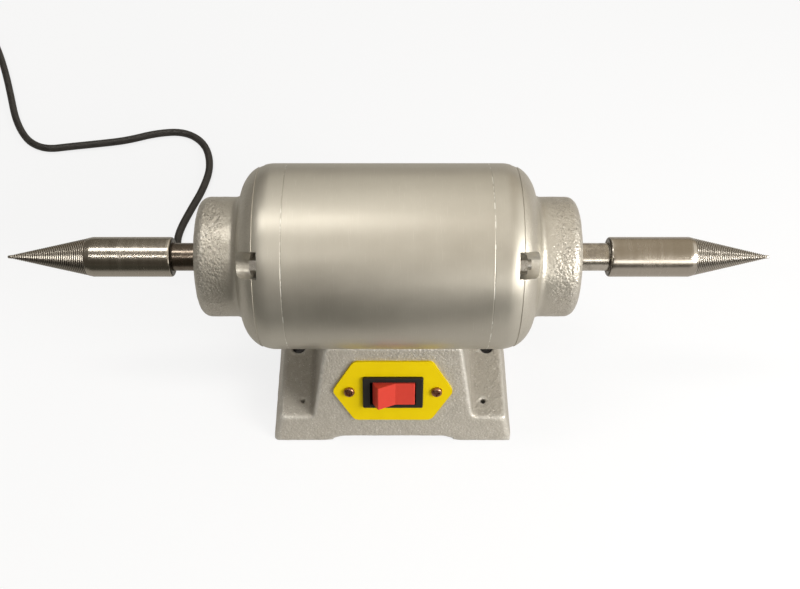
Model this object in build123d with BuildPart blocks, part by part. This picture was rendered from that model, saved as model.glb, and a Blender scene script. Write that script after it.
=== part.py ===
"""Dental polishing lathe: a double-ended bench motor with two taper spindles.

Millimetres, +Z up, +X along the shaft to the right, -Y towards the user. The origin is on the
bench, under the middle of the motor. Every piece is written to parts/ as its own node.
"""

from build123d import *
import math
import os

import numpy as np

os.makedirs("parts", exist_ok=True)

# ---- Driving dimensions: motor -------------------------------------------------------------
motor_clearance = 44.0      # from the bench up to the underside of the barrel
barrel_r = 46.5             # outside of the motor barrel
barrel_half = 49.4          # from the middle of the motor to the seam with an end shield
barrel_wall = 5.0
shield_length = 43.9        # of an end shield, from the seam to the end of its bearing bell
bell_r = 30.0
bell_edge_r = 5.0           # rounded outer corner of the bell
shoulder_start = 6.6        # from the seam to where an end shield's round shoulder starts
shoulder_drop = 0.4         # the shoulder's round stops this far above the bell
neck_r = 4.0                # hollow round between the shoulder and the bell
shield_wall = 4.0           # end wall of the bell, round the shaft
spigot_length = 4.0         # lip of the end shield inside the barrel
spigot_wall = 3.4

bolt_inset = 8.0            # through bolts that clamp the end shields, in from the barrel's outside
bolt_d = 5.0
bolt_head_flats = 8.0
bolt_head_height = 3.5
bolt_count = 4
nut_height = 4.0
pocket_floor = 11.2         # from the seam to the bolt seat on the floor of each pocket
pocket_width = 12.6
felt_r = 12.0               # felt ring between the bearing and the bell's end wall
felt_depth = 2.0

# ---- Driving dimensions: rotor, bearings, spindles -----------------------------------------
shaft_d = 14.0              # where it leaves the bell and inside the spindle
bearing_bore = 15.0
bearing_od = 35.0
bearing_width = 11.0
ball_d = 5.8
ball_count = 8
rotor_seat_d = 17.0
washer_space = 0.6          # room for the wave washer at the right bearing
rotor_r = 24.0
core_half = 25.0            # half the length of the rotor and stator cores
air_gap = 0.3
winding_end = 40.0          # from the middle of the motor to the end of the winding
winding_inner_r = 27.2
winding_outer_r = 36.0
slot_count = 16
slot_width = 5.0

spindle_d = 20.0
left_gap = 14.7             # bare shaft between the left bell and its spindle
left_straight = 40.3        # length of the left spindle's parallel part
left_cone = 43.4
right_gap = 17.2
right_straight = 40.8
right_cone = 40.9
spindle_tip_r = 0.6
spindle_edge_r = 1.2
plain_cone = 2.8            # smooth cone before the first ridge
ridge_pitch = 1.0           # ridges that hold a buff on the cone
ridge_depth = 0.3
spindle_bore_depth = 26.0
bore_chamfer = 0.8
set_screw_d = 4.0
set_screw_place = 13.0      # from a spindle's face to its set screw
set_screw_key = 2.0         # across the flats of its socket

# ---- Driving dimensions: base --------------------------------------------------------------
base_x = 2.6                # the base and its switch sit this far right of the motor's middle
base_length = 130.0         # along the shaft, at the bench
base_depth = 112.0          # front to back, at the bench
ear_height = 15.5
ear_draft = 4.0             # how far each ear's end leans in over its height
ear_length = 22.0           # of each ear beside the pedestal, at the ear's top
ear_corner_r = 3.0
ear_edge_r = 1.2
panel_angle = 22.0          # lean of the front panel from upright
pedestal_lean = 10.2        # lean of the pedestal's side walls, degrees
casting_wall = 4.5
saddle_wall = 6.0
arch_height = 3.0           # the middle of the front and back edges clears the bench
arch_half = 27.0
arch_ramp = 8.0
mount_hole_d = 7.0
mount_hole_inset = 12.1     # from the end of an ear at the bench
mount_hole_y = -3.7
mount_boss_r = 8.0
corner_hole_d = 2.6
corner_hole_inset = 16.0
corner_hole_y = 39.0
corner_boss_r = 3.5
corner_boss_bottom = 5.0
paint_gap = 0.05            # between the barrel and its saddle

cover_thickness = 1.5
cover_corner_r = 4.0
cover_screw_inset = 2.5     # inwards from the pedestal's wall at the top of the ears
cover_screw_y = 36.0
cover_screw_depth = 7.0
screw_boss_r = 4.0
motor_bolt_x = 19.0
motor_bolt_y = 14.0
motor_bolt_d = 6.0
motor_bolt_head_d = 10.0
motor_bolt_head_height = 6.0
motor_bolt_key = 5.0        # across the flats of its socket
motor_boss_r = 6.5
boss_height = 4.0           # bosses under the roof, for the motor bolts and the earth screw

# ---- Driving dimensions: switch ------------------------------------------------------------
plate_width = 64.0
plate_height = 37.6
plate_flat = 41.0           # length of its straight top and bottom edges
plate_thickness = 1.5
plate_corner_r = 4.0
plate_centre_z = 32.6
plate_screw_x = 23.0
plate_screw_length = 9.0
small_screw_d = 3.0
small_head_d = 5.7
small_head_height = 1.9
bezel_width = 31.7
bezel_height = 19.2
bezel_thickness = 2.0
bezel_corner_r = 1.0
bezel_edge_r = 0.6
housing_width = 27.6
housing_height = 17.2
housing_depth = 22.0
opening_width = 24.2
opening_height = 14.4
rocker_half = 10.0          # from the crease to the edge of each finger face
rocker_height = 13.6
rocker_edge_r = 0.5
skirt_out, skirt_rise = 1.3, 1.5    # widest point of the rocker's ends, above its pivot
foot_out, foot_drop = 0.6, 2.6      # their lower corner, below the pivot
rock_angle = 14.0           # each side of the middle position
pivot_depth = 4.6           # below the top of the bezel
pressed_step = 0.4          # a pressed finger face stands this far above the bezel
trunnion_d = 3.0
trunnion_out = 1.2          # from the rocker's side to the end of its trunnion
well_floor = 6.0            # from the pivot down to the floor of the rocker's well
blade_x, blade_y = 9.0, 4.0
blade_thickness, blade_width, blade_length = 0.8, 4.8, 8.0

# ---- Driving dimensions: electrical pieces and cord ----------------------------------------
relief_x = -20.0
relief_z = 20.0
relief_length = 26.0
relief_neck_r = 5.0         # in the wall's hole
relief_flange_r = 7.0
relief_flange_thickness = 2.5
relief_root_r = 4.6         # of the tapered sleeve, where it leaves the flange
relief_tip_wall = 0.9       # round the cord at the end of the sleeve
cord_d = 4.8
wire_d = 2.2
lead_d = 4.5
lead_x = -28.0
lead_y = 14.0
grommet_wall = 1.0
grommet_lip = 3.5           # how far the grommet stands below the roof
grommet_length = 11.5
block_x, block_y = -19.0, 14.0
block_length, block_width, block_height = 26.0, 12.0, 11.5
pole_pitch = 6.0
pole_count = 4
pole_screw_d = 4.0
pole_screw_height = 2.2
pole_well = 3.0             # depth of the hole above each terminal screw
wire_entry = 4.0            # height of the wire holes above the bottom of the block
capacitor_x, capacitor_y = 17.0, 24.0
capacitor_length, capacitor_width, capacitor_height = 34.0, 18.0, 22.0
capacitor_corner_r = 2.0
strap_thickness = 0.8
strap_width = 10.0
strap_foot_length = 8.0
earth_x = 28.0
earth_boss_r = 5.0
earth_screw_d, earth_screw_length = 4.0, 5.0
earth_head_d, earth_head_height = 7.6, 2.6

# ---- Clearances ----------------------------------------------------------------------------
fit = 0.02                  # radial, between pieces that stay together
running = 0.05              # radial, where one piece turns in another
free = 0.3                  # between pieces that only lie near each other


# ---- Worked out from the sizes above -------------------------------------------------------
axis_height = motor_clearance + barrel_r
roof_z = motor_clearance - saddle_wall      # underside of the saddle at its lowest line
shield_end = barrel_half + shield_length
shoulder_x = barrel_half + shoulder_start
shoulder_r = barrel_r - bell_r - shoulder_drop
pocket_x = barrel_half + pocket_floor
bolt_circle_r = barrel_r - bolt_inset
left_face = shield_end + left_gap
right_face = shield_end + right_gap
pedestal_half = base_length / 2 - ear_length    # half the pedestal's width at the top of the ears
mount_hole_x = base_length / 2 - mount_hole_inset
corner_hole_x = base_length / 2 - corner_hole_inset
cover_screw_x = pedestal_half - cover_screw_inset
cord_r = cord_d / 2
panel_slope = math.tan(math.radians(panel_angle))
side_slope = math.tan(math.radians(pedestal_lean))
bearing_seat_x = shield_end - shield_wall
bearing_r = bearing_od / 2
pitch_r = (bearing_od + bearing_bore) / 4
lead_hole_r = lead_d / 2 + grommet_wall + 0.2
housing_hole = (housing_width + 2 * free, housing_height + 2 * free)
spigot_r = barrel_r - barrel_wall - running
cover_bottom = arch_height
cover_top = cover_bottom + cover_thickness


def depth_at(z):
    """Half the base's depth at height z: front and back lean in by the panel angle."""
    return base_depth / 2 - z * panel_slope


def pedestal_at(z):
    """Half the pedestal's width at height z."""
    return pedestal_half - (z - ear_height) * side_slope


def ear_at(z):
    """Half the base's length at height z, up to the top of the ears."""
    return base_length / 2 - ear_draft * z / ear_height


def base_level(z):
    """The level plane at height z, centred on the base."""
    return Plane(origin=(base_x, 0, z))


axle = Axis((0, 0, axis_height), (1, 0, 0))
axle_plane = Plane(origin=(0, 0, axis_height), x_dir=(1, 0, 0), z_dir=(0, -1, 0))


def cross_plane(x):
    """The plane square to the shaft at x, looking back along it."""
    return Plane(origin=(x, 0, axis_height), x_dir=(0, 1, 0), z_dir=(1, 0, 0))


def ring(x_from, x_to, inner_r, outer_r):
    """A plain ring round the shaft axis."""
    with BuildPart() as body:
        with BuildSketch(axle_plane):
            with Locations(((x_from + x_to) / 2, (inner_r + outer_r) / 2)):
                Rectangle(abs(x_to - x_from), outer_r - inner_r)
        revolve(axis=axle)
    return body.part


def four_ways(x, y):
    """The four mirrored places of (x, y) about the middle of the base."""
    return [(x, y), (-x, y), (x, -y), (-x, -y)]


def pan_screw(plane, head_d, head_height, shank_d, shank_length):
    """A pan-head screw with a cross slot: its head sits on the plane, its shank goes below."""
    with BuildPart() as body:
        with BuildSketch(plane):
            Circle(head_d / 2)
        extrude(amount=head_height)
        fillet(body.edges().group_by(SortBy.LENGTH)[-1].sort_by(Axis(plane.origin, plane.z_dir))[-1],
               head_height * 0.6)
        with BuildSketch(plane):
            Circle(shank_d / 2)
        extrude(amount=-shank_length)
        with BuildSketch(plane.offset(head_height)):
            Rectangle(head_d * 0.62, head_d * 0.14)
            Rectangle(head_d * 0.14, head_d * 0.62)
        extrude(amount=-head_height * 0.5, mode=Mode.SUBTRACT)
    return body.part


def route_radii(points):
    """Radius of the arc at each corner: 0.45 of the shorter run over tan(half the turn)."""
    radii = []
    for before, here, after in zip(points, points[1:], points[2:]):
        run_in = Vector(*here) - Vector(*before)
        run_out = Vector(*after) - Vector(*here)
        half_turn = math.radians(run_in.get_angle(run_out)) / 2
        radii.append(0.45 * min(run_in.length, run_out.length) / math.tan(half_turn))
    return radii


def tube(points, radius):
    """A round tube along straight runs joined by tangent arcs."""
    with BuildPart() as body:
        with BuildLine() as route:
            FilletPolyline(*points, radius=route_radii(points))
        path = route.wire()
        with BuildSketch(Plane(origin=path @ 0, z_dir=path % 0)):
            Circle(radius)
        sweep(path=path)
    return body.part, path.length


# ============================================================================================
# Base
# ============================================================================================

# The hollow under the pedestal follows its walls and stops below the saddle.
hollow_top = roof_z + 14.0
with BuildPart() as base_hollow:
    for height in (0, hollow_top):
        with BuildSketch(base_level(height)):
            Rectangle(2 * (pedestal_at(height) - casting_wall), 2 * (depth_at(height) - casting_wall))
    loft()
    with BuildSketch(cross_plane(-base_length)):
        Circle(barrel_r + saddle_wall)
    extrude(amount=2 * base_length, mode=Mode.SUBTRACT)

# The ears are hollow from below as well.
ear_hollow_top = ear_height - casting_wall
with BuildPart() as ear_hollow:
    for height in (0, ear_hollow_top):
        with BuildSketch(base_level(height)):
            Rectangle(2 * (ear_at(height) - casting_wall), 2 * (depth_at(height) - casting_wall))
    loft()

panel_centre = Vector(base_x, -depth_at(plate_centre_z), plate_centre_z)
panel_normal = Vector(0, -math.cos(math.radians(panel_angle)), math.sin(math.radians(panel_angle)))
panel = Plane(origin=panel_centre, x_dir=(1, 0, 0), z_dir=panel_normal)
relief_wall = Plane(
    origin=(relief_x, depth_at(relief_z), relief_z),
    x_dir=(-1, 0, 0),
    z_dir=(0, -panel_normal.Y, panel_normal.Z),
)

pedestal_top = roof_z + 24.0
motor_seat_z = roof_z - 0.5
earth_seat_z = roof_z - 2.0
mount_places = [(mount_hole_x, mount_hole_y), (-mount_hole_x, mount_hole_y)]
with BuildPart() as base_casting:
    for height in (0, ear_height):
        with BuildSketch(base_level(height)):
            Rectangle(2 * ear_at(height), 2 * depth_at(height))
    loft()
    upright = base_casting.edges().filter_by(lambda edge: abs(edge.tangent_at(0.5).Z) > 0.7)
    fillet(upright, ear_corner_r)
    fillet(base_casting.faces().sort_by(Axis.Z)[-1].edges(), ear_edge_r)
    for height in (0, pedestal_top):
        with BuildSketch(base_level(height)):
            Rectangle(2 * pedestal_at(height), 2 * depth_at(height))
    loft()
    add(base_hollow.part, mode=Mode.SUBTRACT)
    add(ear_hollow.part, mode=Mode.SUBTRACT)
    # bosses: bench bolts, corner holes, cover screws, motor bolts, earth screw, panel screws
    boss_top = ear_hollow_top + 1.0
    with BuildSketch(base_level(0)):
        with Locations(*mount_places):
            Circle(mount_boss_r)
    extrude(amount=boss_top)
    with BuildSketch(base_level(corner_boss_bottom)):
        with Locations(*four_ways(corner_hole_x, corner_hole_y)):
            Circle(corner_boss_r)
    extrude(amount=boss_top - corner_boss_bottom)
    with BuildSketch(base_level(cover_top)):
        with Locations(*four_ways(cover_screw_x, cover_screw_y)):
            Circle(screw_boss_r)
    extrude(amount=ear_height - 1.5 - cover_top)
    with BuildSketch(Plane.XY.offset(motor_seat_z)):
        with Locations(*four_ways(motor_bolt_x, motor_bolt_y)):
            Circle(motor_boss_r)
    extrude(amount=boss_height)
    with BuildSketch(Plane.XY.offset(earth_seat_z)):
        with Locations((earth_x, 0)):
            Circle(earth_boss_r)
    extrude(amount=boss_height)
    panel_boss_depth = casting_wall + 3.5
    with BuildSketch(panel.offset(-panel_boss_depth)):
        with Locations((plate_screw_x, 0), (-plate_screw_x, 0)):
            Circle(screw_boss_r)
    extrude(amount=panel_boss_depth - 3.0)
    # saddle for the barrel
    with BuildSketch(cross_plane(-base_length)):
        Circle(barrel_r + paint_gap)
    extrude(amount=2 * base_length, mode=Mode.SUBTRACT)
    # low arch under the front and back edges
    with BuildSketch(Plane(origin=(base_x, base_depth, 0), x_dir=(1, 0, 0), z_dir=(0, -1, 0))):
        with BuildLine():
            Polyline(
                (-arch_half - arch_ramp, 0),
                (-arch_half, arch_height),
                (arch_half, arch_height),
                (arch_half + arch_ramp, 0),
                close=True,
            )
        make_face()
    extrude(amount=2 * base_depth, mode=Mode.SUBTRACT)
    # drilled holes
    with BuildSketch(base_level(0)):
        with Locations(*mount_places):
            Circle(mount_hole_d / 2)
        with Locations(*four_ways(corner_hole_x, corner_hole_y)):
            Circle(corner_hole_d / 2)
    extrude(amount=ear_height + 1, mode=Mode.SUBTRACT)
    with BuildSketch(base_level(cover_top)):
        with Locations(*four_ways(cover_screw_x, cover_screw_y)):
            Circle(small_screw_d / 2 + fit)
    extrude(amount=cover_screw_depth, mode=Mode.SUBTRACT)
    with BuildSketch(Plane.XY.offset(motor_seat_z)):
        with Locations(*four_ways(motor_bolt_x, motor_bolt_y)):
            Circle(motor_bolt_d / 2 + free)
        with Locations((lead_x, lead_y)):
            Circle(lead_hole_r)
    extrude(amount=barrel_r, mode=Mode.SUBTRACT)
    with BuildSketch(Plane.XY.offset(earth_seat_z)):
        with Locations((earth_x, 0)):
            Circle(earth_screw_d / 2 + fit)
    extrude(amount=earth_screw_length + free, mode=Mode.SUBTRACT)
    # switch opening and plate screw holes in the panel
    with BuildSketch(panel):
        Rectangle(*housing_hole)
        with Locations((plate_screw_x, 0), (-plate_screw_x, 0)):
            Circle(small_screw_d / 2 + fit)
    extrude(amount=-panel_boss_depth - 4.0, mode=Mode.SUBTRACT)
    # hole for the strain relief in the back wall
    with BuildSketch(relief_wall.offset(1.0)):
        Circle(relief_neck_r + fit)
    extrude(amount=-casting_wall - 3.5, mode=Mode.SUBTRACT)
base_casting.part.label = "base_casting"
export_step(base_casting.part, "parts/base_casting.step")

with BuildPart() as bottom_cover:
    with BuildSketch(base_level(cover_bottom)):
        RectangleRounded(2 * (cover_screw_x + 3.5), 2 * (cover_screw_y + 10), cover_corner_r)
        with Locations(*four_ways(cover_screw_x, cover_screw_y)):
            Circle(small_screw_d / 2 + free, mode=Mode.SUBTRACT)
    extrude(amount=cover_thickness)
bottom_cover.part.label = "bottom_cover"
export_step(bottom_cover.part, "parts/bottom_cover.step")

cover_screw_list = []
for x, y in four_ways(cover_screw_x, cover_screw_y):
    seat = Plane(origin=(base_x + x, y, cover_bottom), x_dir=(1, 0, 0), z_dir=(0, 0, -1))
    cover_screw_list.append(
        pan_screw(seat, small_head_d, small_head_height, small_screw_d, cover_screw_depth)
    )
with BuildPart() as cover_screws:
    add(cover_screw_list)
cover_screws.part.label = "cover_screws"
export_step(cover_screws.part, "parts/cover_screws.step")

# Cap screws that hold the motor down, from inside the base into the barrel's wall.
barrel_inner_r = barrel_r - barrel_wall
motor_bolt_near = motor_bolt_y - motor_bolt_d / 2
motor_bolt_top = axis_height - math.sqrt(barrel_inner_r**2 - motor_bolt_near**2) - free
with BuildPart() as motor_bolts:
    with BuildSketch(Plane.XY.offset(motor_seat_z)):
        with Locations(*four_ways(motor_bolt_x, motor_bolt_y)):
            Circle(motor_bolt_head_d / 2)
            RegularPolygon(motor_bolt_key / 2, 6, major_radius=False, mode=Mode.SUBTRACT)
    extrude(amount=-motor_bolt_head_height)
    socket_floor = motor_seat_z - motor_bolt_head_height / 2
    with BuildSketch(Plane.XY.offset(socket_floor)):
        with Locations(*four_ways(motor_bolt_x, motor_bolt_y)):
            Circle(motor_bolt_d / 2)
    extrude(amount=motor_bolt_top - socket_floor)
motor_bolts.part.label = "motor_bolts"
export_step(motor_bolts.part, "parts/motor_bolts.step")

# ============================================================================================
# Motor: barrel and end shields
# ============================================================================================

with BuildPart() as motor_barrel:
    with BuildSketch(cross_plane(-barrel_half)):
        Circle(barrel_r)
        Circle(barrel_inner_r, mode=Mode.SUBTRACT)
    extrude(amount=2 * barrel_half)
    with BuildSketch(Plane.XY):
        with Locations(*four_ways(motor_bolt_x, motor_bolt_y)):
            Circle(motor_bolt_d / 2 + fit)
        with Locations((lead_x, lead_y)):
            Circle(lead_hole_r)
    extrude(amount=axis_height, mode=Mode.SUBTRACT)
motor_barrel.part.label = "motor_barrel"
export_step(motor_barrel.part, "parts/motor_barrel.step")

# Outline of an end shield. The shoulder and the hollow neck round are two arcs that touch.
shoulder_centre = (shoulder_x, barrel_r - shoulder_r)
neck_rise = bell_r + neck_r - shoulder_centre[1]
neck_centre = (shoulder_x + math.sqrt((shoulder_r + neck_r) ** 2 - neck_rise**2), bell_r + neck_r)
shoulder_turn = 90 - math.degrees(math.asin(neck_rise / (shoulder_r + neck_r)))
shaft_hole_r = shaft_d / 2 + 1.2
spigot_x = barrel_half - spigot_length
bearing_pocket = bearing_width + washer_space
seat_mouth_x = bearing_seat_x - bearing_pocket
with BuildPart() as shield:
    with BuildSketch(axle_plane):
        with BuildLine():
            Polyline(
                (spigot_x, spigot_r - spigot_wall),
                (spigot_x, spigot_r),
                (barrel_half, spigot_r),
                (barrel_half, barrel_r),
                (shoulder_x, barrel_r),
            )
            CenterArc(shoulder_centre, shoulder_r, 90, -shoulder_turn)
            CenterArc(neck_centre, neck_r, 270 - shoulder_turn, shoulder_turn)
            Line((neck_centre[0], bell_r), (shield_end - bell_edge_r, bell_r))
            CenterArc((shield_end - bell_edge_r, bell_r - bell_edge_r), bell_edge_r, 90, -90)
            Polyline(
                (shield_end, bell_r - bell_edge_r),
                (shield_end, shaft_hole_r),
                (bearing_seat_x + felt_depth, shaft_hole_r),
                (bearing_seat_x + felt_depth, felt_r),
                (bearing_seat_x, felt_r),
                (bearing_seat_x, bearing_r + fit),
                (seat_mouth_x, bearing_r + fit),
                (seat_mouth_x, bearing_r + 4.5),
                (neck_centre[0] - 10, bearing_r + 6.5),
                (spigot_x + 7.6, spigot_r - 8.5),
                (spigot_x, spigot_r - spigot_wall),
            )
        make_face()
    revolve(axis=axle)
    # pockets for the through bolts: a round-bottomed notch, open outwards and to the end
    with BuildSketch(cross_plane(pocket_x)):
        with PolarLocations(bolt_circle_r + 1.8, bolt_count, start_angle=45):
            Circle(pocket_width / 2)
        with PolarLocations(bolt_circle_r + 11.8, bolt_count, start_angle=45):
            Rectangle(20, pocket_width)
    extrude(amount=20, mode=Mode.SUBTRACT)
    with BuildSketch(cross_plane(spigot_x)):
        with PolarLocations(bolt_circle_r, bolt_count, start_angle=45):
            Circle(bolt_d / 2 + free)
    extrude(amount=pocket_x - spigot_x, mode=Mode.SUBTRACT)

with BuildPart() as end_shield_right:
    add(shield.part)
end_shield_right.part.label = "end_shield_right"
export_step(end_shield_right.part, "parts/end_shield_right.step")

with BuildPart() as end_shield_left:
    add(mirror(shield.part, about=Plane.YZ, mode=Mode.PRIVATE))
end_shield_left.part.label = "end_shield_left"
export_step(end_shield_left.part, "parts/end_shield_left.step")

# Hexagon-headed bolts run from the left pockets through to nuts in the right pockets. Each
# hexagon has a flat towards the shaft, which clears the round floor of its pocket.
flat_inward = 30
with BuildPart() as through_bolts:
    with BuildSketch(cross_plane(-pocket_x)):
        with PolarLocations(bolt_circle_r, bolt_count, start_angle=45):
            RegularPolygon(bolt_head_flats / 2, 6, major_radius=False, rotation=flat_inward)
    extrude(amount=-bolt_head_height)
    with BuildSketch(cross_plane(-pocket_x)):
        with PolarLocations(bolt_circle_r, bolt_count, start_angle=45):
            Circle(bolt_d / 2)
    extrude(amount=2 * pocket_x + nut_height + 2.0)
through_bolts.part.label = "through_bolts"
export_step(through_bolts.part, "parts/through_bolts.step")

with BuildPart() as through_bolt_nuts:
    with BuildSketch(cross_plane(pocket_x)):
        with PolarLocations(bolt_circle_r, bolt_count, start_angle=45):
            RegularPolygon(bolt_head_flats / 2, 6, major_radius=False, rotation=flat_inward)
            Circle(bolt_d / 2 + fit, mode=Mode.SUBTRACT)
    extrude(amount=nut_height)
through_bolt_nuts.part.label = "through_bolt_nuts"
export_step(through_bolt_nuts.part, "parts/through_bolt_nuts.step")

# ============================================================================================
# Motor: stator and rotor
# ============================================================================================

core_r = barrel_inner_r - running
bore_r = rotor_r + air_gap
slot_floor_r = winding_outer_r - 0.4
slot_start = 360 / slot_count / 2
with BuildPart() as stator_core:
    with BuildSketch(cross_plane(-core_half)):
        Circle(core_r)
        Circle(bore_r, mode=Mode.SUBTRACT)
        with PolarLocations((winding_inner_r + slot_floor_r) / 2, slot_count, start_angle=slot_start):
            Rectangle(slot_floor_r - winding_inner_r, slot_width, mode=Mode.SUBTRACT)
        with PolarLocations((winding_inner_r + bore_r) / 2, slot_count, start_angle=slot_start):
            Rectangle(winding_inner_r - bore_r + 1, slot_width * 0.4, mode=Mode.SUBTRACT)
        with PolarLocations(bolt_circle_r, bolt_count, start_angle=45):
            Circle(bolt_d / 2 + 0.5, mode=Mode.SUBTRACT)
        with PolarLocations(bolt_circle_r + 3, bolt_count, start_angle=45):
            Rectangle(6, bolt_d + 1, mode=Mode.SUBTRACT)
    extrude(amount=2 * core_half)
stator_core.part.label = "stator_core"
export_step(stator_core.part, "parts/stator_core.step")

# Each end of the winding is a rounded ring, and a bundle in every slot joins the two.
with BuildPart() as stator_winding:
    with BuildSketch(axle_plane):
        for side in (-1, 1):
            with Locations((side * (core_half + 1 + winding_end) / 2, (winding_inner_r + winding_outer_r) / 2)):
                RectangleRounded(winding_end - core_half - 1, winding_outer_r - winding_inner_r, 2.0)
    revolve(axis=axle)
    with BuildSketch(cross_plane(-core_half - 5)):
        with PolarLocations((winding_inner_r + slot_floor_r) / 2, slot_count, start_angle=slot_start):
            Rectangle(slot_floor_r - winding_inner_r - 2 * free, slot_width - 2 * free)
    extrude(amount=2 * core_half + 10)
stator_winding.part.label = "stator_winding"
export_step(stator_winding.part, "parts/stator_winding.step")

bar_circle_r = rotor_r - 3.0
bar_r = 1.5
bar_count = 18
with BuildPart() as rotor_core:
    with BuildSketch(cross_plane(-core_half)):
        Circle(rotor_r)
        Circle(rotor_seat_d / 2 + fit, mode=Mode.SUBTRACT)
        with PolarLocations(bar_circle_r, bar_count):
            Circle(bar_r + fit, mode=Mode.SUBTRACT)
    extrude(amount=2 * core_half)
rotor_core.part.label = "rotor_core"
export_step(rotor_core.part, "parts/rotor_core.step")

end_ring_width = 7.0
with BuildPart() as rotor_cage:
    for start in (-core_half - end_ring_width, core_half):
        with BuildSketch(cross_plane(start)):
            Circle(rotor_r - 0.5)
            Circle(rotor_r - 8, mode=Mode.SUBTRACT)
        extrude(amount=end_ring_width)
    with BuildSketch(cross_plane(-core_half - 1)):
        with PolarLocations(bar_circle_r, bar_count):
            Circle(bar_r)
    extrude(amount=2 * core_half + 2)
rotor_cage.part.label = "rotor_cage"
export_step(rotor_cage.part, "parts/rotor_cage.step")

# The shaft steps down from the rotor seat to the bearings, and again to the spindles.
left_bearing = (-bearing_seat_x, -bearing_seat_x + bearing_width)
right_bearing = (bearing_seat_x - washer_space - bearing_width, bearing_seat_x - washer_space)
shaft_steps = [
    (-left_face - spindle_bore_depth + 1, shaft_d / 2),
    (left_bearing[0] - 0.5, bearing_bore / 2),
    (left_bearing[1], rotor_seat_d / 2),
    (right_bearing[0], bearing_bore / 2),
    (right_bearing[1] + 0.5, shaft_d / 2),
    (right_face + spindle_bore_depth - 1, 0),
]
with BuildPart() as motor_shaft:
    for (start, radius), (end, _) in zip(shaft_steps, shaft_steps[1:]):
        with BuildSketch(cross_plane(start)):
            Circle(radius)
        extrude(amount=end - start)
motor_shaft.part.label = "motor_shaft"
export_step(motor_shaft.part, "parts/motor_shaft.step")

# ============================================================================================
# Bearings, washer and felts
# ============================================================================================

groove_r = ball_d / 2 + 0.2
race_gap = 2.3              # from the pitch circle to each ring's land
cage_half = 3.8             # half the ball cage's width, and half its thickness
cage_half_wall = 1.0
for side, (start, end) in (("left", left_bearing), ("right", right_bearing)):
    middle = (start + end) / 2
    with BuildPart() as bearing_outer_ring:
        add(ring(start, end, pitch_r + race_gap, bearing_r))
        with BuildSketch(axle_plane):
            with Locations((middle, pitch_r)):
                Circle(groove_r)
        revolve(axis=axle, mode=Mode.SUBTRACT)
    bearing_outer_ring.part.label = f"bearing_outer_ring_{side}"
    export_step(bearing_outer_ring.part, f"parts/bearing_outer_ring_{side}.step")

    with BuildPart() as bearing_inner_ring:
        add(ring(start, end, bearing_bore / 2 + fit, pitch_r - race_gap))
        with BuildSketch(axle_plane):
            with Locations((middle, pitch_r)):
                Circle(groove_r)
        revolve(axis=axle, mode=Mode.SUBTRACT)
    bearing_inner_ring.part.label = f"bearing_inner_ring_{side}"
    export_step(bearing_inner_ring.part, f"parts/bearing_inner_ring_{side}.step")

    with BuildPart() as bearing_balls:
        with Locations(cross_plane(middle)):
            with PolarLocations(pitch_r, ball_count):
                Sphere(ball_d / 2)
    bearing_balls.part.label = f"bearing_balls_{side}"
    export_step(bearing_balls.part, f"parts/bearing_balls_{side}.step")

    with BuildPart() as bearing_ball_cage:
        cage_inner_r, cage_outer_r = pitch_r - cage_half_wall, pitch_r + cage_half_wall
        add(ring(middle - cage_half, middle + cage_half, cage_inner_r, cage_outer_r))
        for number in range(ball_count):
            turn = math.radians(number * 360 / ball_count)
            outward = Vector(0, math.cos(turn), math.sin(turn))
            with BuildSketch(Plane(origin=(middle, 0, axis_height), z_dir=outward)):
                Circle(ball_d / 2 + 0.1)
            extrude(amount=pitch_r + 2, mode=Mode.SUBTRACT)
    bearing_ball_cage.part.label = f"bearing_ball_cage_{side}"
    export_step(bearing_ball_cage.part, f"parts/bearing_ball_cage_{side}.step")

with BuildPart() as wave_washer:
    add(ring(right_bearing[1] + 0.05, bearing_seat_x - 0.05, felt_r + 3, bearing_r - 0.5))
wave_washer.part.label = "wave_washer"
export_step(wave_washer.part, "parts/wave_washer.step")

for side, direction in (("left", -1), ("right", 1)):
    felt_from = direction * (bearing_seat_x + 0.1)
    felt_to = direction * (bearing_seat_x + felt_depth - 0.1)
    with BuildPart() as felt_ring:
        add(ring(felt_from, felt_to, bearing_bore / 2 + 0.1, felt_r - 0.1))
    felt_ring.part.label = f"felt_ring_{side}"
    export_step(felt_ring.part, f"parts/felt_ring_{side}.step")

# ============================================================================================
# Spindles
# ============================================================================================

spindle_r = spindle_d / 2
spindle_bore_r = shaft_d / 2 + fit


def screw_plane(x, y):
    """The upright plane at the shaft's height, facing back, on which a set screw is drawn."""
    return Plane(origin=(x, y, axis_height), x_dir=(1, 0, 0), z_dir=(0, 1, 0))


def ridged_outline(cone_start, tip):
    """Outline of a cone whose ridges are shallow V cuts, each down and up over one pitch."""
    slope = (spindle_r - spindle_tip_r) / (tip - cone_start)
    first_ridge = cone_start + plain_cone
    ridge_count = int((tip - plain_cone - first_ridge) / ridge_pitch)
    points = [(cone_start, spindle_r)]
    for number in range(ridge_count):
        crest = first_ridge + number * ridge_pitch
        valley = crest + ridge_pitch / 2
        points.append((crest, spindle_r - (crest - cone_start) * slope))
        points.append((valley, spindle_r - (valley - cone_start) * slope - ridge_depth))
    last_crest = first_ridge + ridge_count * ridge_pitch
    points.append((last_crest, spindle_r - (last_crest - cone_start) * slope))
    return points + [(tip, spindle_tip_r), (tip, 0)]


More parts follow.
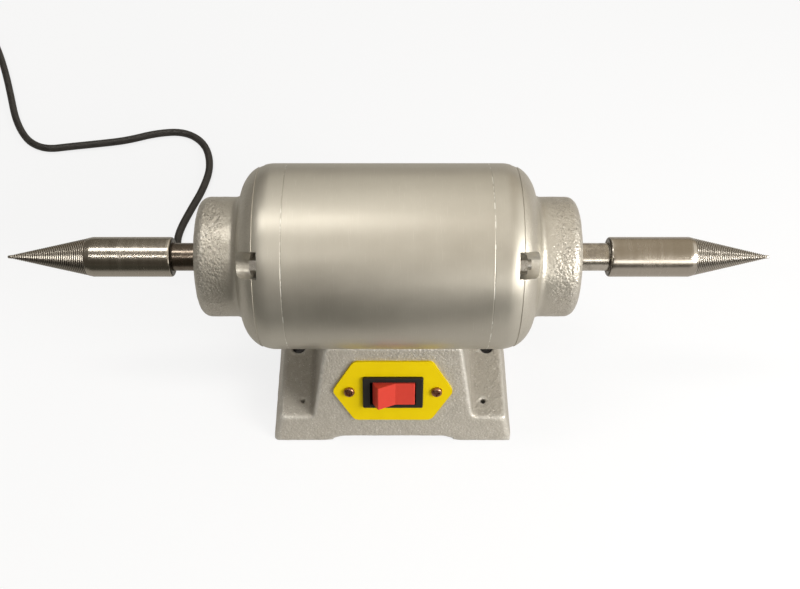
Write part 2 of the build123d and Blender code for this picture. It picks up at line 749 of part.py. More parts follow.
def right_hand_spindle(face, straight, cone):
    """A bored spindle on the right end of the shaft, drilled at its back for a set screw."""
    bore_end = face + spindle_bore_depth
    edge = spindle_edge_r
    with BuildPart() as body:
        with BuildSketch(axle_plane):
            with BuildLine():
                Polyline(
                    (bore_end, 0),
                    (bore_end, spindle_bore_r),
                    (face + bore_chamfer, spindle_bore_r),
                    (face, spindle_bore_r + bore_chamfer),
                    (face, spindle_r - edge),
                )
                CenterArc((face + edge, spindle_r - edge), edge, 180, -90)
                Line((face + edge, spindle_r), (face + straight, spindle_r))
                Polyline(*ridged_outline(face + straight, face + straight + cone), (bore_end, 0))
            make_face()
        revolve(axis=axle)
        with BuildSketch(screw_plane(face + set_screw_place, 0)):
            Circle(set_screw_d / 2 + fit)
        extrude(amount=spindle_d, mode=Mode.SUBTRACT)
    return body.part


with BuildPart() as spindle_right:
    add(right_hand_spindle(right_face, right_straight, right_cone))
spindle_right.part.label = "spindle_right"
export_step(spindle_right.part, "parts/spindle_right.step")

left_spindle_mirrored = right_hand_spindle(left_face, left_straight, left_cone)
with BuildPart() as spindle_left:
    add(mirror(left_spindle_mirrored, about=Plane.YZ, mode=Mode.PRIVATE))
spindle_left.part.label = "spindle_left"
export_step(spindle_left.part, "parts/spindle_left.step")

screw_length = (spindle_d - shaft_d) / 2 - free
with BuildPart() as spindle_set_screws:
    for x in (-left_face - set_screw_place, right_face + set_screw_place):
        with BuildSketch(screw_plane(x, shaft_d / 2 + 0.1)):
            Circle(set_screw_d / 2)
        extrude(amount=screw_length)
        with BuildSketch(screw_plane(x, shaft_d / 2 + 1.1)):
            RegularPolygon(set_screw_key / 2, 6, major_radius=False)
        extrude(amount=screw_length, mode=Mode.SUBTRACT)
spindle_set_screws.part.label = "spindle_set_screws"
export_step(spindle_set_screws.part, "parts/spindle_set_screws.step")

# ============================================================================================
# Switch on the sloping panel
# ============================================================================================

with BuildPart() as switch_plate:
    with BuildSketch(panel) as plate_outline:
        Polygon(
            (plate_width / 2, 0),
            (plate_flat / 2, plate_height / 2),
            (-plate_flat / 2, plate_height / 2),
            (-plate_width / 2, 0),
            (-plate_flat / 2, -plate_height / 2),
            (plate_flat / 2, -plate_height / 2),
        )
        fillet(plate_outline.vertices(), plate_corner_r)
        Rectangle(*housing_hole, mode=Mode.SUBTRACT)
        with Locations((plate_screw_x, 0), (-plate_screw_x, 0)):
            Circle(small_screw_d / 2 + free, mode=Mode.SUBTRACT)
    extrude(amount=plate_thickness)
switch_plate.part.label = "switch_plate"
export_step(switch_plate.part, "parts/switch_plate.step")

plate_screw_list = []
for x in (-plate_screw_x, plate_screw_x):
    seat = Plane(
        origin=panel.from_local_coords((x, 0, plate_thickness)), x_dir=(1, 0, 0), z_dir=panel_normal
    )
    plate_screw_list.append(
        pan_screw(seat, small_head_d, small_head_height, small_screw_d, plate_screw_length)
    )
with BuildPart() as switch_plate_screws:
    add(plate_screw_list)
switch_plate_screws.part.label = "switch_plate_screws"
export_step(switch_plate_screws.part, "parts/switch_plate_screws.step")

bezel_top = plate_thickness + bezel_thickness
pivot_level = bezel_top - pivot_depth
well_depth = pivot_depth + well_floor
with BuildPart() as switch_housing:
    with BuildSketch(panel.offset(plate_thickness)):
        RectangleRounded(bezel_width, bezel_height, bezel_corner_r)
    extrude(amount=bezel_thickness)
    fillet(switch_housing.faces().sort_by(Axis((0, 0, 0), panel_normal))[-1].edges(), bezel_edge_r)
    with BuildSketch(panel.offset(plate_thickness)):
        Rectangle(housing_width, housing_height)
    extrude(amount=-plate_thickness - housing_depth)
    with BuildSketch(panel.offset(bezel_top)):
        Rectangle(opening_width, opening_height)
    extrude(amount=-well_depth, mode=Mode.SUBTRACT)
    with BuildSketch(
        Plane(
            origin=panel.from_local_coords((0, -housing_height, pivot_level)),
            x_dir=(1, 0, 0),
            z_dir=panel.y_dir,
        )
    ):
        Circle(trunnion_d / 2 + running)
    extrude(amount=2 * housing_height, mode=Mode.SUBTRACT)
switch_housing.part.label = "switch_housing"
export_step(switch_housing.part, "parts/switch_housing.step")

# The rocker is drawn level about its pivot, on a plane turned so that its right side is pressed.
rock = math.radians(rock_angle)
crease_rise = (pivot_depth + pressed_step) / math.cos(rock)
edge_rise = crease_rise + rocker_half * math.tan(rock)
rocker_x = Vector(math.cos(rock), 0, 0) - panel_normal * math.sin(rock)
rocker_plane = Plane(
    origin=panel.from_local_coords((0, 0, pivot_level)), x_dir=rocker_x, z_dir=panel.y_dir * -1
)
with BuildPart() as rocker:
    with BuildSketch(rocker_plane.offset(-rocker_height / 2)):
        Polygon(
            (0, crease_rise),
            (-rocker_half, edge_rise),
            (-rocker_half - skirt_out, skirt_rise),
            (-rocker_half - foot_out, -foot_drop),
            (rocker_half + foot_out, -foot_drop),
            (rocker_half + skirt_out, skirt_rise),
            (rocker_half, edge_rise),
            align=None,
        )
    extrude(amount=rocker_height)
    finger_edges = rocker.edges().group_by(Axis(rocker_plane.origin, rocker_plane.y_dir))[-1]
    fillet(finger_edges, rocker_edge_r)
    trunnion_reach = rocker_height / 2 + trunnion_out
    with BuildSketch(rocker_plane.offset(-trunnion_reach)):
        Circle(trunnion_d / 2)
    extrude(amount=2 * trunnion_reach)
rocker.part.label = "rocker"
export_step(rocker.part, "parts/rocker.step")

blade_places = [(-blade_x, -blade_y), (-blade_x, blade_y), (blade_x, -blade_y), (blade_x, blade_y)]
with BuildPart() as switch_terminals:
    with BuildSketch(panel.offset(-housing_depth)):
        with Locations(*blade_places):
            Rectangle(blade_thickness, blade_width)
    extrude(amount=-blade_length)
switch_terminals.part.label = "switch_terminals"
export_step(switch_terminals.part, "parts/switch_terminals.step")

# ============================================================================================
# Electrical pieces on the bottom cover
# ============================================================================================

pole_places = [block_x + (number - (pole_count - 1) / 2) * pole_pitch for number in range(pole_count)]
block_front = block_y - block_width / 2
block_top = cover_top + block_height
wire_entry_z = cover_top + wire_entry
with BuildPart() as terminal_block:
    with BuildSketch(Plane.XY.offset(cover_top)):
        with Locations((block_x, block_y)):
            Rectangle(block_length, block_width)
    extrude(amount=block_height)
    for face_y in (block_front, block_y + block_width / 2):
        with BuildSketch(Plane(origin=(0, face_y, wire_entry_z), x_dir=(1, 0, 0), z_dir=(0, -1, 0))):
            with Locations(*[(x, 0) for x in pole_places]):
                Circle(wire_d / 2 + free)
        extrude(amount=4.0, both=True, mode=Mode.SUBTRACT)
    with BuildSketch(Plane.XY.offset(block_top)):
        with Locations(*[(x, block_y) for x in pole_places]):
            Circle(pole_screw_d / 2 + free)
    extrude(amount=-pole_well, mode=Mode.SUBTRACT)
terminal_block.part.label = "terminal_block"
export_step(terminal_block.part, "parts/terminal_block.step")

with BuildPart() as terminal_screws:
    with BuildSketch(Plane.XY.offset(block_top - pole_well)):
        with Locations(*[(x, block_y) for x in pole_places]):
            Circle(pole_screw_d / 2)
    extrude(amount=pole_screw_height)
    with BuildSketch(Plane.XY.offset(block_top - pole_well + pole_screw_height)):
        with Locations(*[(x, block_y) for x in pole_places]):
            Rectangle(pole_screw_d * 0.8, 0.6)
    extrude(amount=-0.8, mode=Mode.SUBTRACT)
terminal_screws.part.label = "terminal_screws"
export_step(terminal_screws.part, "parts/terminal_screws.step")

# One wire from each switch blade down to its pole of the block.
switch_wire_list = []
for (across, up), pole_x in zip(blade_places, pole_places):
    blade_end = panel.from_local_coords((across, up, -housing_depth - blade_length - 0.2))
    bend = panel.from_local_coords((across, up, -housing_depth - blade_length - 6.0))
    points = [
        tuple(blade_end),
        tuple(bend),
        (pole_x + (bend.X - pole_x) * 0.1, block_front - 6.0, wire_entry_z + 0.3),
        (pole_x, block_front - 1.0, wire_entry_z),
        (pole_x, block_front + 3.0, wire_entry_z - 0.05),
    ]
    wire, _ = tube(points, wire_d / 2)
    switch_wire_list.append(wire)
with BuildPart() as switch_wires:
    add(switch_wire_list)
switch_wires.part.label = "switch_wires"
export_step(switch_wires.part, "parts/switch_wires.step")

with BuildPart() as capacitor:
    with BuildSketch(Plane.XY.offset(cover_top)):
        with Locations((capacitor_x, capacitor_y)):
            RectangleRounded(capacitor_length, capacitor_width, capacitor_corner_r)
    extrude(amount=capacitor_height)
capacitor.part.label = "capacitor"
export_step(capacitor.part, "parts/capacitor.step")

strap_side = capacitor_width / 2 + free
strap_foot = strap_side + strap_foot_length
strap_top = capacitor_height + free
strap_screw_reach = strap_foot - strap_foot_length / 2
with BuildPart() as capacitor_strap:
    with BuildSketch(Plane(origin=(capacitor_x, capacitor_y, cover_top), x_dir=(0, 1, 0), z_dir=(1, 0, 0))):
        with BuildLine():
            Polyline(
                (-strap_foot, 0),
                (-strap_side, 0),
                (-strap_side, strap_top),
                (strap_side, strap_top),
                (strap_side, 0),
                (strap_foot, 0),
                (strap_foot, strap_thickness),
                (strap_side + strap_thickness, strap_thickness),
                (strap_side + strap_thickness, strap_top + strap_thickness),
                (-strap_side - strap_thickness, strap_top + strap_thickness),
                (-strap_side - strap_thickness, strap_thickness),
                (-strap_foot, strap_thickness),
                close=True,
            )
        make_face()
    extrude(amount=strap_width / 2, both=True)
    with BuildSketch(Plane.XY.offset(cover_top)):
        for y in (capacitor_y - strap_screw_reach, capacitor_y + strap_screw_reach):
            with Locations((capacitor_x, y)):
                Circle(small_screw_d / 2 + free)
    extrude(amount=strap_thickness, mode=Mode.SUBTRACT)
capacitor_strap.part.label = "capacitor_strap"
export_step(capacitor_strap.part, "parts/capacitor_strap.step")

strap_screw_list = []
for y in (capacitor_y - strap_screw_reach, capacitor_y + strap_screw_reach):
    seat = Plane(origin=(capacitor_x, y, cover_top + strap_thickness), x_dir=(1, 0, 0), z_dir=(0, 0, 1))
    strap_screw_list.append(
        pan_screw(seat, small_head_d, small_head_height, small_screw_d, strap_thickness - 0.05)
    )
with BuildPart() as capacitor_strap_screws:
    add(strap_screw_list)
capacitor_strap_screws.part.label = "capacitor_strap_screws"
export_step(capacitor_strap_screws.part, "parts/capacitor_strap_screws.step")

# Two wires leave the capacitor's end and turn into the back of the block.
capacitor_face = capacitor_x - capacitor_length / 2 - free
block_back = block_y + block_width / 2
low_wire_x, high_wire_x = pole_places[3], pole_places[2]
capacitor_routes = [
    [
        (capacitor_face, block_back + 8.0, wire_entry_z + 1.5),
        (capacitor_face - 6.0, block_back + 8.2, wire_entry_z + 1.1),
        (low_wire_x, block_back + 5.6, wire_entry_z + 0.1),
        (low_wire_x, block_back - 3.0, wire_entry_z),
    ],
    [
        (capacitor_face, block_back + 4.5, wire_entry_z + 8.5),
        (capacitor_face - 7.0, block_back + 5.5, wire_entry_z + 8.0),
        (high_wire_x + 1.5, block_back + 6.0, wire_entry_z + 4.0),
        (high_wire_x, block_back + 3.3, wire_entry_z + 0.1),
        (high_wire_x, block_back - 3.0, wire_entry_z),
    ],
]
capacitor_wire_list = [tube(points, wire_d / 2)[0] for points in capacitor_routes]
with BuildPart() as capacitor_wires:
    add(capacitor_wire_list)
capacitor_wires.part.label = "capacitor_wires"
export_step(capacitor_wires.part, "parts/capacitor_wires.step")

earth_seat = Plane(origin=(earth_x, 0, earth_seat_z), x_dir=(1, 0, 0), z_dir=(0, 0, -1))
with BuildPart() as earth_screw:
    add(pan_screw(earth_seat, earth_head_d, earth_head_height, earth_screw_d, earth_screw_length))
earth_screw.part.label = "earth_screw"
export_step(earth_screw.part, "parts/earth_screw.step")

earth_route = [
    (block_x + block_length / 2 + 0.1, block_y - 3.0, wire_entry_z + 3.0),
    (block_x + block_length / 2 + 9.0, block_y - 4.0, wire_entry_z + 3.5),
    (earth_x - 12.0, 3.0, earth_seat_z - 12.0),
    (earth_x - 2.0, 0.5, earth_seat_z - earth_head_height - wire_d / 2 - 0.1),
]
earth_wire_solid, _ = tube(earth_route, wire_d / 2)
with BuildPart() as earth_wire:
    add(earth_wire_solid)
earth_wire.part.label = "earth_wire"
export_step(earth_wire.part, "parts/earth_wire.step")

# The motor lead rises through the roof of the base and the barrel to the winding.
grommet_seat = axis_height - math.sqrt((barrel_r + saddle_wall) ** 2 - lead_y**2)
lead_bottom = block_top + 0.5
lead_top = axis_height - math.sqrt(winding_outer_r**2 - (lead_y - lead_d / 2) ** 2) - 0.4
with BuildPart() as motor_lead:
    with BuildSketch(Plane.XY.offset(lead_bottom)):
        with Locations((lead_x, lead_y)):
            Circle(lead_d / 2)
    extrude(amount=lead_top - lead_bottom)
motor_lead.part.label = "motor_lead"
export_step(motor_lead.part, "parts/motor_lead.step")

with BuildPart() as lead_grommet:
    with BuildSketch(Plane.XY.offset(grommet_seat - grommet_lip)):
        with Locations((lead_x, lead_y)):
            Circle(lead_hole_r - 0.1)
            Circle(lead_d / 2 + 0.1, mode=Mode.SUBTRACT)
    extrude(amount=grommet_length)
lead_grommet.part.label = "lead_grommet"
export_step(lead_grommet.part, "parts/lead_grommet.step")

# ============================================================================================
# Cord: strain relief, the free stretch, the coil, its tie, the tail and the plug
# ============================================================================================

# The strain relief is moulded on the cord: a neck in the wall, a flange, and a tapered sleeve.
relief_inner = casting_wall * math.cos(math.radians(panel_angle)) + 1.0
with BuildPart() as strain_relief:
    with BuildSketch(relief_wall.offset(-relief_inner)):
        Circle(relief_neck_r)
    extrude(amount=relief_inner)
    with BuildSketch(relief_wall):
        Circle(relief_flange_r)
    extrude(amount=relief_flange_thickness)
    with BuildSketch(relief_wall.offset(relief_flange_thickness)):
        Circle(relief_root_r)
    with BuildSketch(relief_wall.offset(relief_length)):
        Circle(cord_r + relief_tip_wall)
    loft()
strain_relief.part.label = "strain_relief"
export_step(strain_relief.part, "parts/strain_relief.step")

inner_start = relief_wall.from_local_coords((0, 0, -relief_inner))
inner_reach = (inner_start.Y - (block_y + block_width / 2) - cord_r * panel_slope - 0.5) / math.cos(
    math.radians(panel_angle)
)
with BuildPart() as inner_cord:
    with BuildSketch(relief_wall.offset(-relief_inner)):
        Circle(cord_r)
    extrude(amount=-inner_reach)
inner_cord.part.label = "inner_cord"
export_step(inner_cord.part, "parts/inner_cord.step")

# Coil: half turns whose radius steps by half a pitch, in on the lower layer and out on the upper.
turn_pitch = cord_d + 0.6
coil_outer_r = 33.0
half_turns_in = 5
coil_x, coil_y = -345.0, 349.8
coil_low_z = cord_r + 1.5   # leaves room under the coil for its tie
coil_high_z = coil_low_z + turn_pitch
bench_z = cord_r + 0.05     # centre of a cord that lies on the bench

exit_point = relief_wall.from_local_coords((0, 0, relief_length))
first_bend = relief_wall.from_local_coords((0, 0, relief_length + 16.0))
coil_entry = (coil_x + coil_outer_r, coil_y - cord_d, coil_low_z)

# Chosen by eye along the cord in the photograph, except the first two and the last.
cord_route = [
    tuple(exit_point),
    tuple(first_bend),
    (-26.0, 103.0, 33.0),
    (-40.0, 113.5, 21.5),
    (-57.0, 110.0, 9.0),
    (-72.5, 98.0, bench_z),
    (-85.5, 80.6, bench_z),
    (-98.6, 67.5, bench_z),
    (-108.5, 64.2, bench_z),
    (-118.8, 65.9, bench_z),
    (-127.3, 72.0, bench_z),
    (-132.0, 81.3, bench_z),
    (-131.9, 93.5, bench_z),
    (-126.7, 111.5, bench_z),
    (-120.5, 130.0, bench_z),
    (-117.5, 151.0, bench_z),
    (-123.5, 172.0, bench_z),
    (-138.5, 183.5, bench_z),
    (-158.0, 182.0, bench_z),
    (-177.0, 174.8, bench_z),
    (-197.0, 171.6, bench_z),
    (-215.0, 169.0, bench_z),
    (-229.5, 166.5, bench_z),
    (-241.5, 172.0, bench_z),
    (-250.0, 182.5, bench_z),
    (-258.0, 198.0, bench_z),
    (-265.0, 218.0, bench_z),
    (-274.0, 242.5, bench_z),
    (-284.5, 267.0, bench_z),
    (-296.0, 289.0, bench_z),
    (-308.0, 309.5, 3.2),
    (-312.0, 329.0, coil_low_z),
    coil_entry,
]
cord_solid, cord_length = tube(cord_route, cord_r)
with BuildPart() as power_cord:
    add(cord_solid)
power_cord.part.label = "power_cord"
export_step(power_cord.part, "parts/power_cord.step")


def half_turns(start_x, radius, step, count, side, height):
    """Half turns as (start, middle, end), beginning on the given side of the coil."""
    turns = []
    for _ in range(count):
        end_x = start_x - side * 2 * radius
        centre_x = start_x - side * radius
        turns.append(
            ((start_x, coil_y, height), (centre_x, coil_y + side * radius, height), (end_x, coil_y, height))
        )
        start_x = end_x
        side = -side
        radius += step
    return turns, start_x, radius, side


half_step = turn_pitch / 2
turns_in, climb_x, climb_r, climb_side = half_turns(
    coil_x + coil_outer_r, coil_outer_r, -half_step, half_turns_in, 1, coil_low_z
)
climb_end_x = climb_x - climb_side * 2 * climb_r
climb_middle = (
    climb_x - climb_side * climb_r,
    coil_y + climb_side * math.sqrt(climb_r**2 + (turn_pitch / 2) ** 2),
    (coil_low_z + coil_high_z) / 2,
)
turns_out, coil_end_x, _, _ = half_turns(
    climb_end_x, climb_r + half_step, half_step, half_turns_in, -climb_side, coil_high_z
)
coil_exit = (coil_end_x, coil_y - cord_d, coil_high_z)

with BuildPart() as cord_coil:
    with BuildLine() as coil_path:
        Line(coil_entry, (coil_x + coil_outer_r, coil_y, coil_low_z))
        for start, middle, end in turns_in:
            ThreePointArc(start, middle, end)
        TangentArc((climb_x, coil_y, coil_low_z), climb_middle, tangent=(0, climb_side, 0))
        TangentArc(
            climb_middle, (climb_end_x, coil_y, coil_high_z), tangent=coil_path.edges()[-1] % 1
        )
        for start, middle, end in turns_out:
            ThreePointArc(start, middle, end)
        Line((coil_end_x, coil_y, coil_high_z), coil_exit)
    coil_wire = coil_path.wire()
    with BuildSketch(Plane(origin=coil_wire @ 0, z_dir=coil_wire % 0)):
        Circle(cord_r)
    sweep(path=coil_wire)
cord_coil.part.label = "cord_coil"
export_step(cord_coil.part, "parts/cord_coil.step")

# Least gap of the coil to itself, measured on points along its path.
coil_length = coil_wire.length
path_samples = 2400
path_points = np.array(
    [tuple(coil_wire @ (number / path_samples)) for number in range(path_samples + 1)]
)
apart = int(path_samples * math.pi * (climb_r / 2) / coil_length)
least_gap = min(
    float(np.linalg.norm(path_points[number + apart:] - path_points[number], axis=1).min())
    for number in range(path_samples - apart)
) - cord_d

# The tie goes round all the turns on the far side of the coil.
tie_thickness = 1.2
tie_width = 8.0
tie_x = coil_x - half_step
tie_inner = climb_r + half_step - cord_r - 1.4
tie_outer = coil_outer_r + cord_r + free
tie_middle_y = coil_y + (tie_inner + tie_outer) / 2
tie_middle_z = (coil_low_z + coil_high_z) / 2
tie_height = turn_pitch + cord_d + 2 * free
with BuildPart() as coil_tie:
    with BuildSketch(
        Plane(origin=(tie_x, tie_middle_y, tie_middle_z), x_dir=(0, 1, 0), z_dir=(1, 0, 0))
    ):
        RectangleRounded(tie_outer - tie_inner + 2 * tie_thickness, tie_height + 2 * tie_thickness, 2.5)
        RectangleRounded(tie_outer - tie_inner, tie_height, 1.3, mode=Mode.SUBTRACT)
    extrude(amount=tie_width / 2, both=True)
coil_tie.part.label = "coil_tie"
export_step(coil_tie.part, "parts/coil_tie.step")

plug_width, plug_height, plug_length = 34.0, 30.0, 36.0
plug_z = plug_height / 2
tail_route = [
    coil_exit,
    (coil_end_x, coil_y - cord_d - 16.0, coil_high_z),
    (coil_end_x + 3.0, coil_y - cord_d - 36.0, coil_high_z + 3.2),
    (coil_end_x + 9.4, coil_y - cord_d - 56.0, plug_z),
    (coil_end_x + 17.4, coil_y - cord_d - 72.0, plug_z),
]
tail_solid, tail_length = tube(tail_route, cord_r)
with BuildPart() as cord_tail:
    add(tail_solid)
cord_tail.part.label = "cord_tail"
export_step(cord_tail.part, "parts/cord_tail.step")

plug_rear = Vector(*tail_route[-1])
plug_heading = (plug_rear - Vector(*tail_route[-2])).normalized()
plug_plane = Plane(origin=plug_rear, x_dir=(-plug_heading.Y, plug_heading.X, 0), z_dir=plug_heading)
with BuildPart() as plug_body:
    with BuildSketch(plug_plane):
        Circle(cord_r + 1.4)
    with BuildSketch(plug_plane.offset(plug_length / 2)):
        RectangleRounded(plug_width - 4, plug_height - 4, 8.0)
    loft()
    with BuildSketch(plug_plane.offset(plug_length / 2)):
        RectangleRounded(plug_width, plug_height, 9.0)
    extrude(amount=plug_length / 2)
plug_body.part.label = "plug_body"
export_step(plug_body.part, "parts/plug_body.step")

# Two angled flat pins and an upright earth pin.
with BuildPart() as plug_pins:
    with BuildSketch(plug_plane.offset(plug_length)):
        with Locations(Location((6.9, 4.0), 30), Location((-6.9, 4.0), -30)):
            Rectangle(1.6, 6.3)
    extrude(amount=17.0)
    with BuildSketch(plug_plane.offset(plug_length)):
        with Locations((0, -10.3 + 2.0)):
            Rectangle(1.6, 6.3)
    extrude(amount=20.0)
plug_pins.part.label = "plug_pins"
export_step(plug_pins.part, "parts/plug_pins.step")

# ---- What the cord measures ----------------------------------------------------------------
section = math.pi * cord_r**2
print("cord corner radii:", [round(radius, 1) for radius in route_radii(cord_route)])
print("tail corner radii:", [round(radius, 1) for radius in route_radii(tail_route)])
print(f"cord {cord_length:.0f} mm, coil {coil_length:.0f} mm, tail {tail_length:.0f} mm,",
      f"together {cord_length + coil_length + tail_length:.0f} mm")
print(f"volume over section times length: cord {power_cord.part.volume / section / cord_length:.4f},",
      f"coil {cord_coil.part.volume / section / coil_length:.4f},",
      f"tail {cord_tail.part.volume / section / tail_length:.4f}")
print(f"least gap of the coil to itself {least_gap:.2f} mm")
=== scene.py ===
# %% [markdown]
# # A double-ended polishing lathe
#
# This scene dresses a finished mechanical model. The model arrives as a fixed frame, in
# metres, with +X along the shaft, -Y towards the person at the bench and +Z up. Nothing of
# it is moved. Pieces whose real surface is richer than the mechanical solid are made again
# here from formulas, and everything that is left gets a finish of its own.

# %% Load the frame
import itertools
import math

import bmesh
import bpy
import numpy as np
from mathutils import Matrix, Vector


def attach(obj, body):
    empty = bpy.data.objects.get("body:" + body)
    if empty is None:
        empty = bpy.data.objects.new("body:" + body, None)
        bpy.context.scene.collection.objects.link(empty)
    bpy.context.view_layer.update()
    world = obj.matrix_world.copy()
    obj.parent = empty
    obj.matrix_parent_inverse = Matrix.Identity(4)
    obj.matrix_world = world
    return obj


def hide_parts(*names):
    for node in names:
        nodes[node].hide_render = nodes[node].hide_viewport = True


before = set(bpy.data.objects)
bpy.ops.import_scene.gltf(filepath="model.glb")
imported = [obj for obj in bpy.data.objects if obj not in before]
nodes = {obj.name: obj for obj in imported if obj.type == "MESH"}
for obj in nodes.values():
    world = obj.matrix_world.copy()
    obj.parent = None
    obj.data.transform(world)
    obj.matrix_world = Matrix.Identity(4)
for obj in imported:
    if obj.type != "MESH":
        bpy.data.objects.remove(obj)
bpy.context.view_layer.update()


# %% Linking
def linked(name, data):
    """A new object that shows the given data, linked to the scene."""
    made = bpy.data.objects.new(name, data)
    bpy.context.scene.collection.objects.link(made)
    return made


# %% [markdown]
# ## Camera
#
# The picture was taken from above the front edge of the bench. Straight lines that run away
# from the eye give its height and tilt, and the lens follows from how fast the base narrows.
# A small shift moves the middle of the picture without tilting anything.

# %% Camera
PICTURE_WIDTH = 800  # pixels
FOCAL_PIXELS = 988.0
SHIFT_PIXELS = (12, 47)  # across and up
SENSOR_MM = 36.0
DOWNWARD_TILT = 55.3  # degrees below the horizon
EYE = (0.0, -0.3187, 0.4758)

camera_data = bpy.data.cameras.new("picture_camera")
camera_data.sensor_width = SENSOR_MM
camera_data.lens = SENSOR_MM * FOCAL_PIXELS / PICTURE_WIDTH
camera_data.shift_x, camera_data.shift_y = (pixels / PICTURE_WIDTH for pixels in SHIFT_PIXELS)
camera_data.clip_start, camera_data.clip_end = 0.02, 30.0
camera = linked("picture_camera", camera_data)
camera.location = EYE
camera.rotation_euler = (math.radians(90 - DOWNWARD_TILT), 0, 0)
bpy.context.scene.camera = camera
bpy.context.scene.view_settings.view_transform = "Standard"
print(f"lens {camera_data.lens:.1f} mm")

# %% [markdown]
# ## Cord
#
# The cord is a fixed length of rubber cable. It leaves a strain relief at the back of the
# base, drops to the bench, swings out behind the left spindle, and runs off to where the
# spare length lies in a tied coil with the plug beside it. One smooth spline carries all of
# it. A spline of order 3 cuts inside its control points, so the points of a round turn stand
# a little outside the turn itself.

# %% Cord: from the strain relief to the coil
MM = 0.001
CORD_DIAMETER = 4.8 * MM
BENCH_Z = 2.45  # the cord's middle where it lies on the bench, in mm like all the points
COIL_LOW_Z, COIL_HIGH_Z = 3.9, 9.3  # the coil's two layers
CORD_EXIT = (-20.0, 72.03, 29.74)

on_bench = [
    (-72.5, 98.0), (-85.5, 80.6), (-98.6, 67.5), (-108.5, 64.2), (-118.8, 65.9), (-127.3, 72.0),
    (-132.0, 81.3), (-131.9, 93.5), (-126.7, 111.5), (-120.5, 130.0), (-117.5, 151.0),
    (-123.5, 172.0), (-138.5, 183.5), (-158.0, 182.0), (-177.0, 174.8), (-197.0, 171.6),
    (-215.0, 169.0), (-229.5, 166.5), (-241.5, 172.0), (-250.0, 182.5), (-258.0, 198.0),
    (-265.0, 218.0), (-274.0, 242.5), (-284.5, 267.0), (-296.0, 289.0),
]
cord_points = [
    CORD_EXIT,
    (-20.0, 86.9, 35.7), (-26.0, 103.0, 33.0), (-40.0, 113.5, 21.5), (-57.0, 110.0, 9.0),
    *((x, y, BENCH_Z) for x, y in on_bench),
    (-308.0, 309.5, 3.2), (-312.0, 329.0, COIL_LOW_Z), (-312.0, 345.0, COIL_LOW_Z),
]
print(len(cord_points), "points before the coil")

# %% Cord: the coil and the tail
# The coil is half circles whose radius shrinks by half a pitch each time, a climb to the
# second layer, and half circles that grow again. Their middles lie on one line along X.
COIL_X, COIL_Y = -345.0, 349.8
COIL_OUTER_R = 33.0
TURN_PITCH = 5.4
POINTS_PER_HALF_TURN = 8

start_x, side, radius = COIL_X + COIL_OUTER_R, 1, COIL_OUTER_R
half_turns = [(COIL_LOW_Z, COIL_LOW_Z)] * 5 + [(COIL_LOW_Z, COIL_HIGH_Z)]
half_turns += [(COIL_HIGH_Z, COIL_HIGH_Z)] * 5
angles = (np.arange(POINTS_PER_HALF_TURN) + 0.5) * math.pi / POINTS_PER_HALF_TURN
outset = 1 / math.cos(math.pi / POINTS_PER_HALF_TURN / 2)
for turn, (z_from, z_to) in enumerate(half_turns):
    centre_x = start_x - side * radius
    x = centre_x + side * radius * outset * np.cos(angles)
    y = COIL_Y + side * radius * outset * np.sin(angles)
    z = z_from + (z_to - z_from) * angles / math.pi
    cord_points += np.stack([x, y, z], axis=1).tolist()
    start_x -= side * 2 * radius
    side = -side
    radius += -TURN_PITCH / 2 if turn < len(half_turns) // 2 else TURN_PITCH / 2
coil_end_x = start_x
cord_points += [
    (coil_end_x, 345.0, COIL_HIGH_Z),
    (coil_end_x, 329.0, COIL_HIGH_Z),
    (coil_end_x + 3.0, 309.0, 12.5),
    (coil_end_x + 9.4, 289.0, 15.0),
    (coil_end_x + 17.4, 273.0, 15.0),
]
print(len(cord_points), "control points, coil ends at x", round(coil_end_x, 1))

# %% Cord: the spline
cord_curve = bpy.data.curves.new("power_cord_rubber", "CURVE")
cord_curve.dimensions = "3D"
spline = cord_curve.splines.new("NURBS")
spline.points.add(len(cord_points) - 1)
weighted = np.ones((len(cord_points), 4))
weighted[:, :3] = np.array(cord_points) * MM
spline.points.foreach_set("co", weighted.ravel())
spline.points.foreach_set("radius", np.full(len(cord_points), CORD_DIAMETER / 2))
spline.order_u = 3
spline.use_endpoint_u = True
spline.resolution_u = 6
cord_curve.bevel_depth = 1.0  # the tube's radius is this times each point's own radius
cord_curve.bevel_resolution = 5
cord_curve.use_fill_caps = True
cord = linked("power_cord_rubber", cord_curve)
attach(cord, "base")
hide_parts("power_cord", "cord_coil", "cord_tail")
print("one spline of order", spline.order_u)

# %% [markdown]
# ## Shader nodes from short words
#
# A finish is a net of small nodes. Writing every node and link out takes pages, so one class
# wraps a node tree and gives the few moves that all finishes need: a sum, a change of scale,
# a blend of two colours, a noise, a bump, a group.


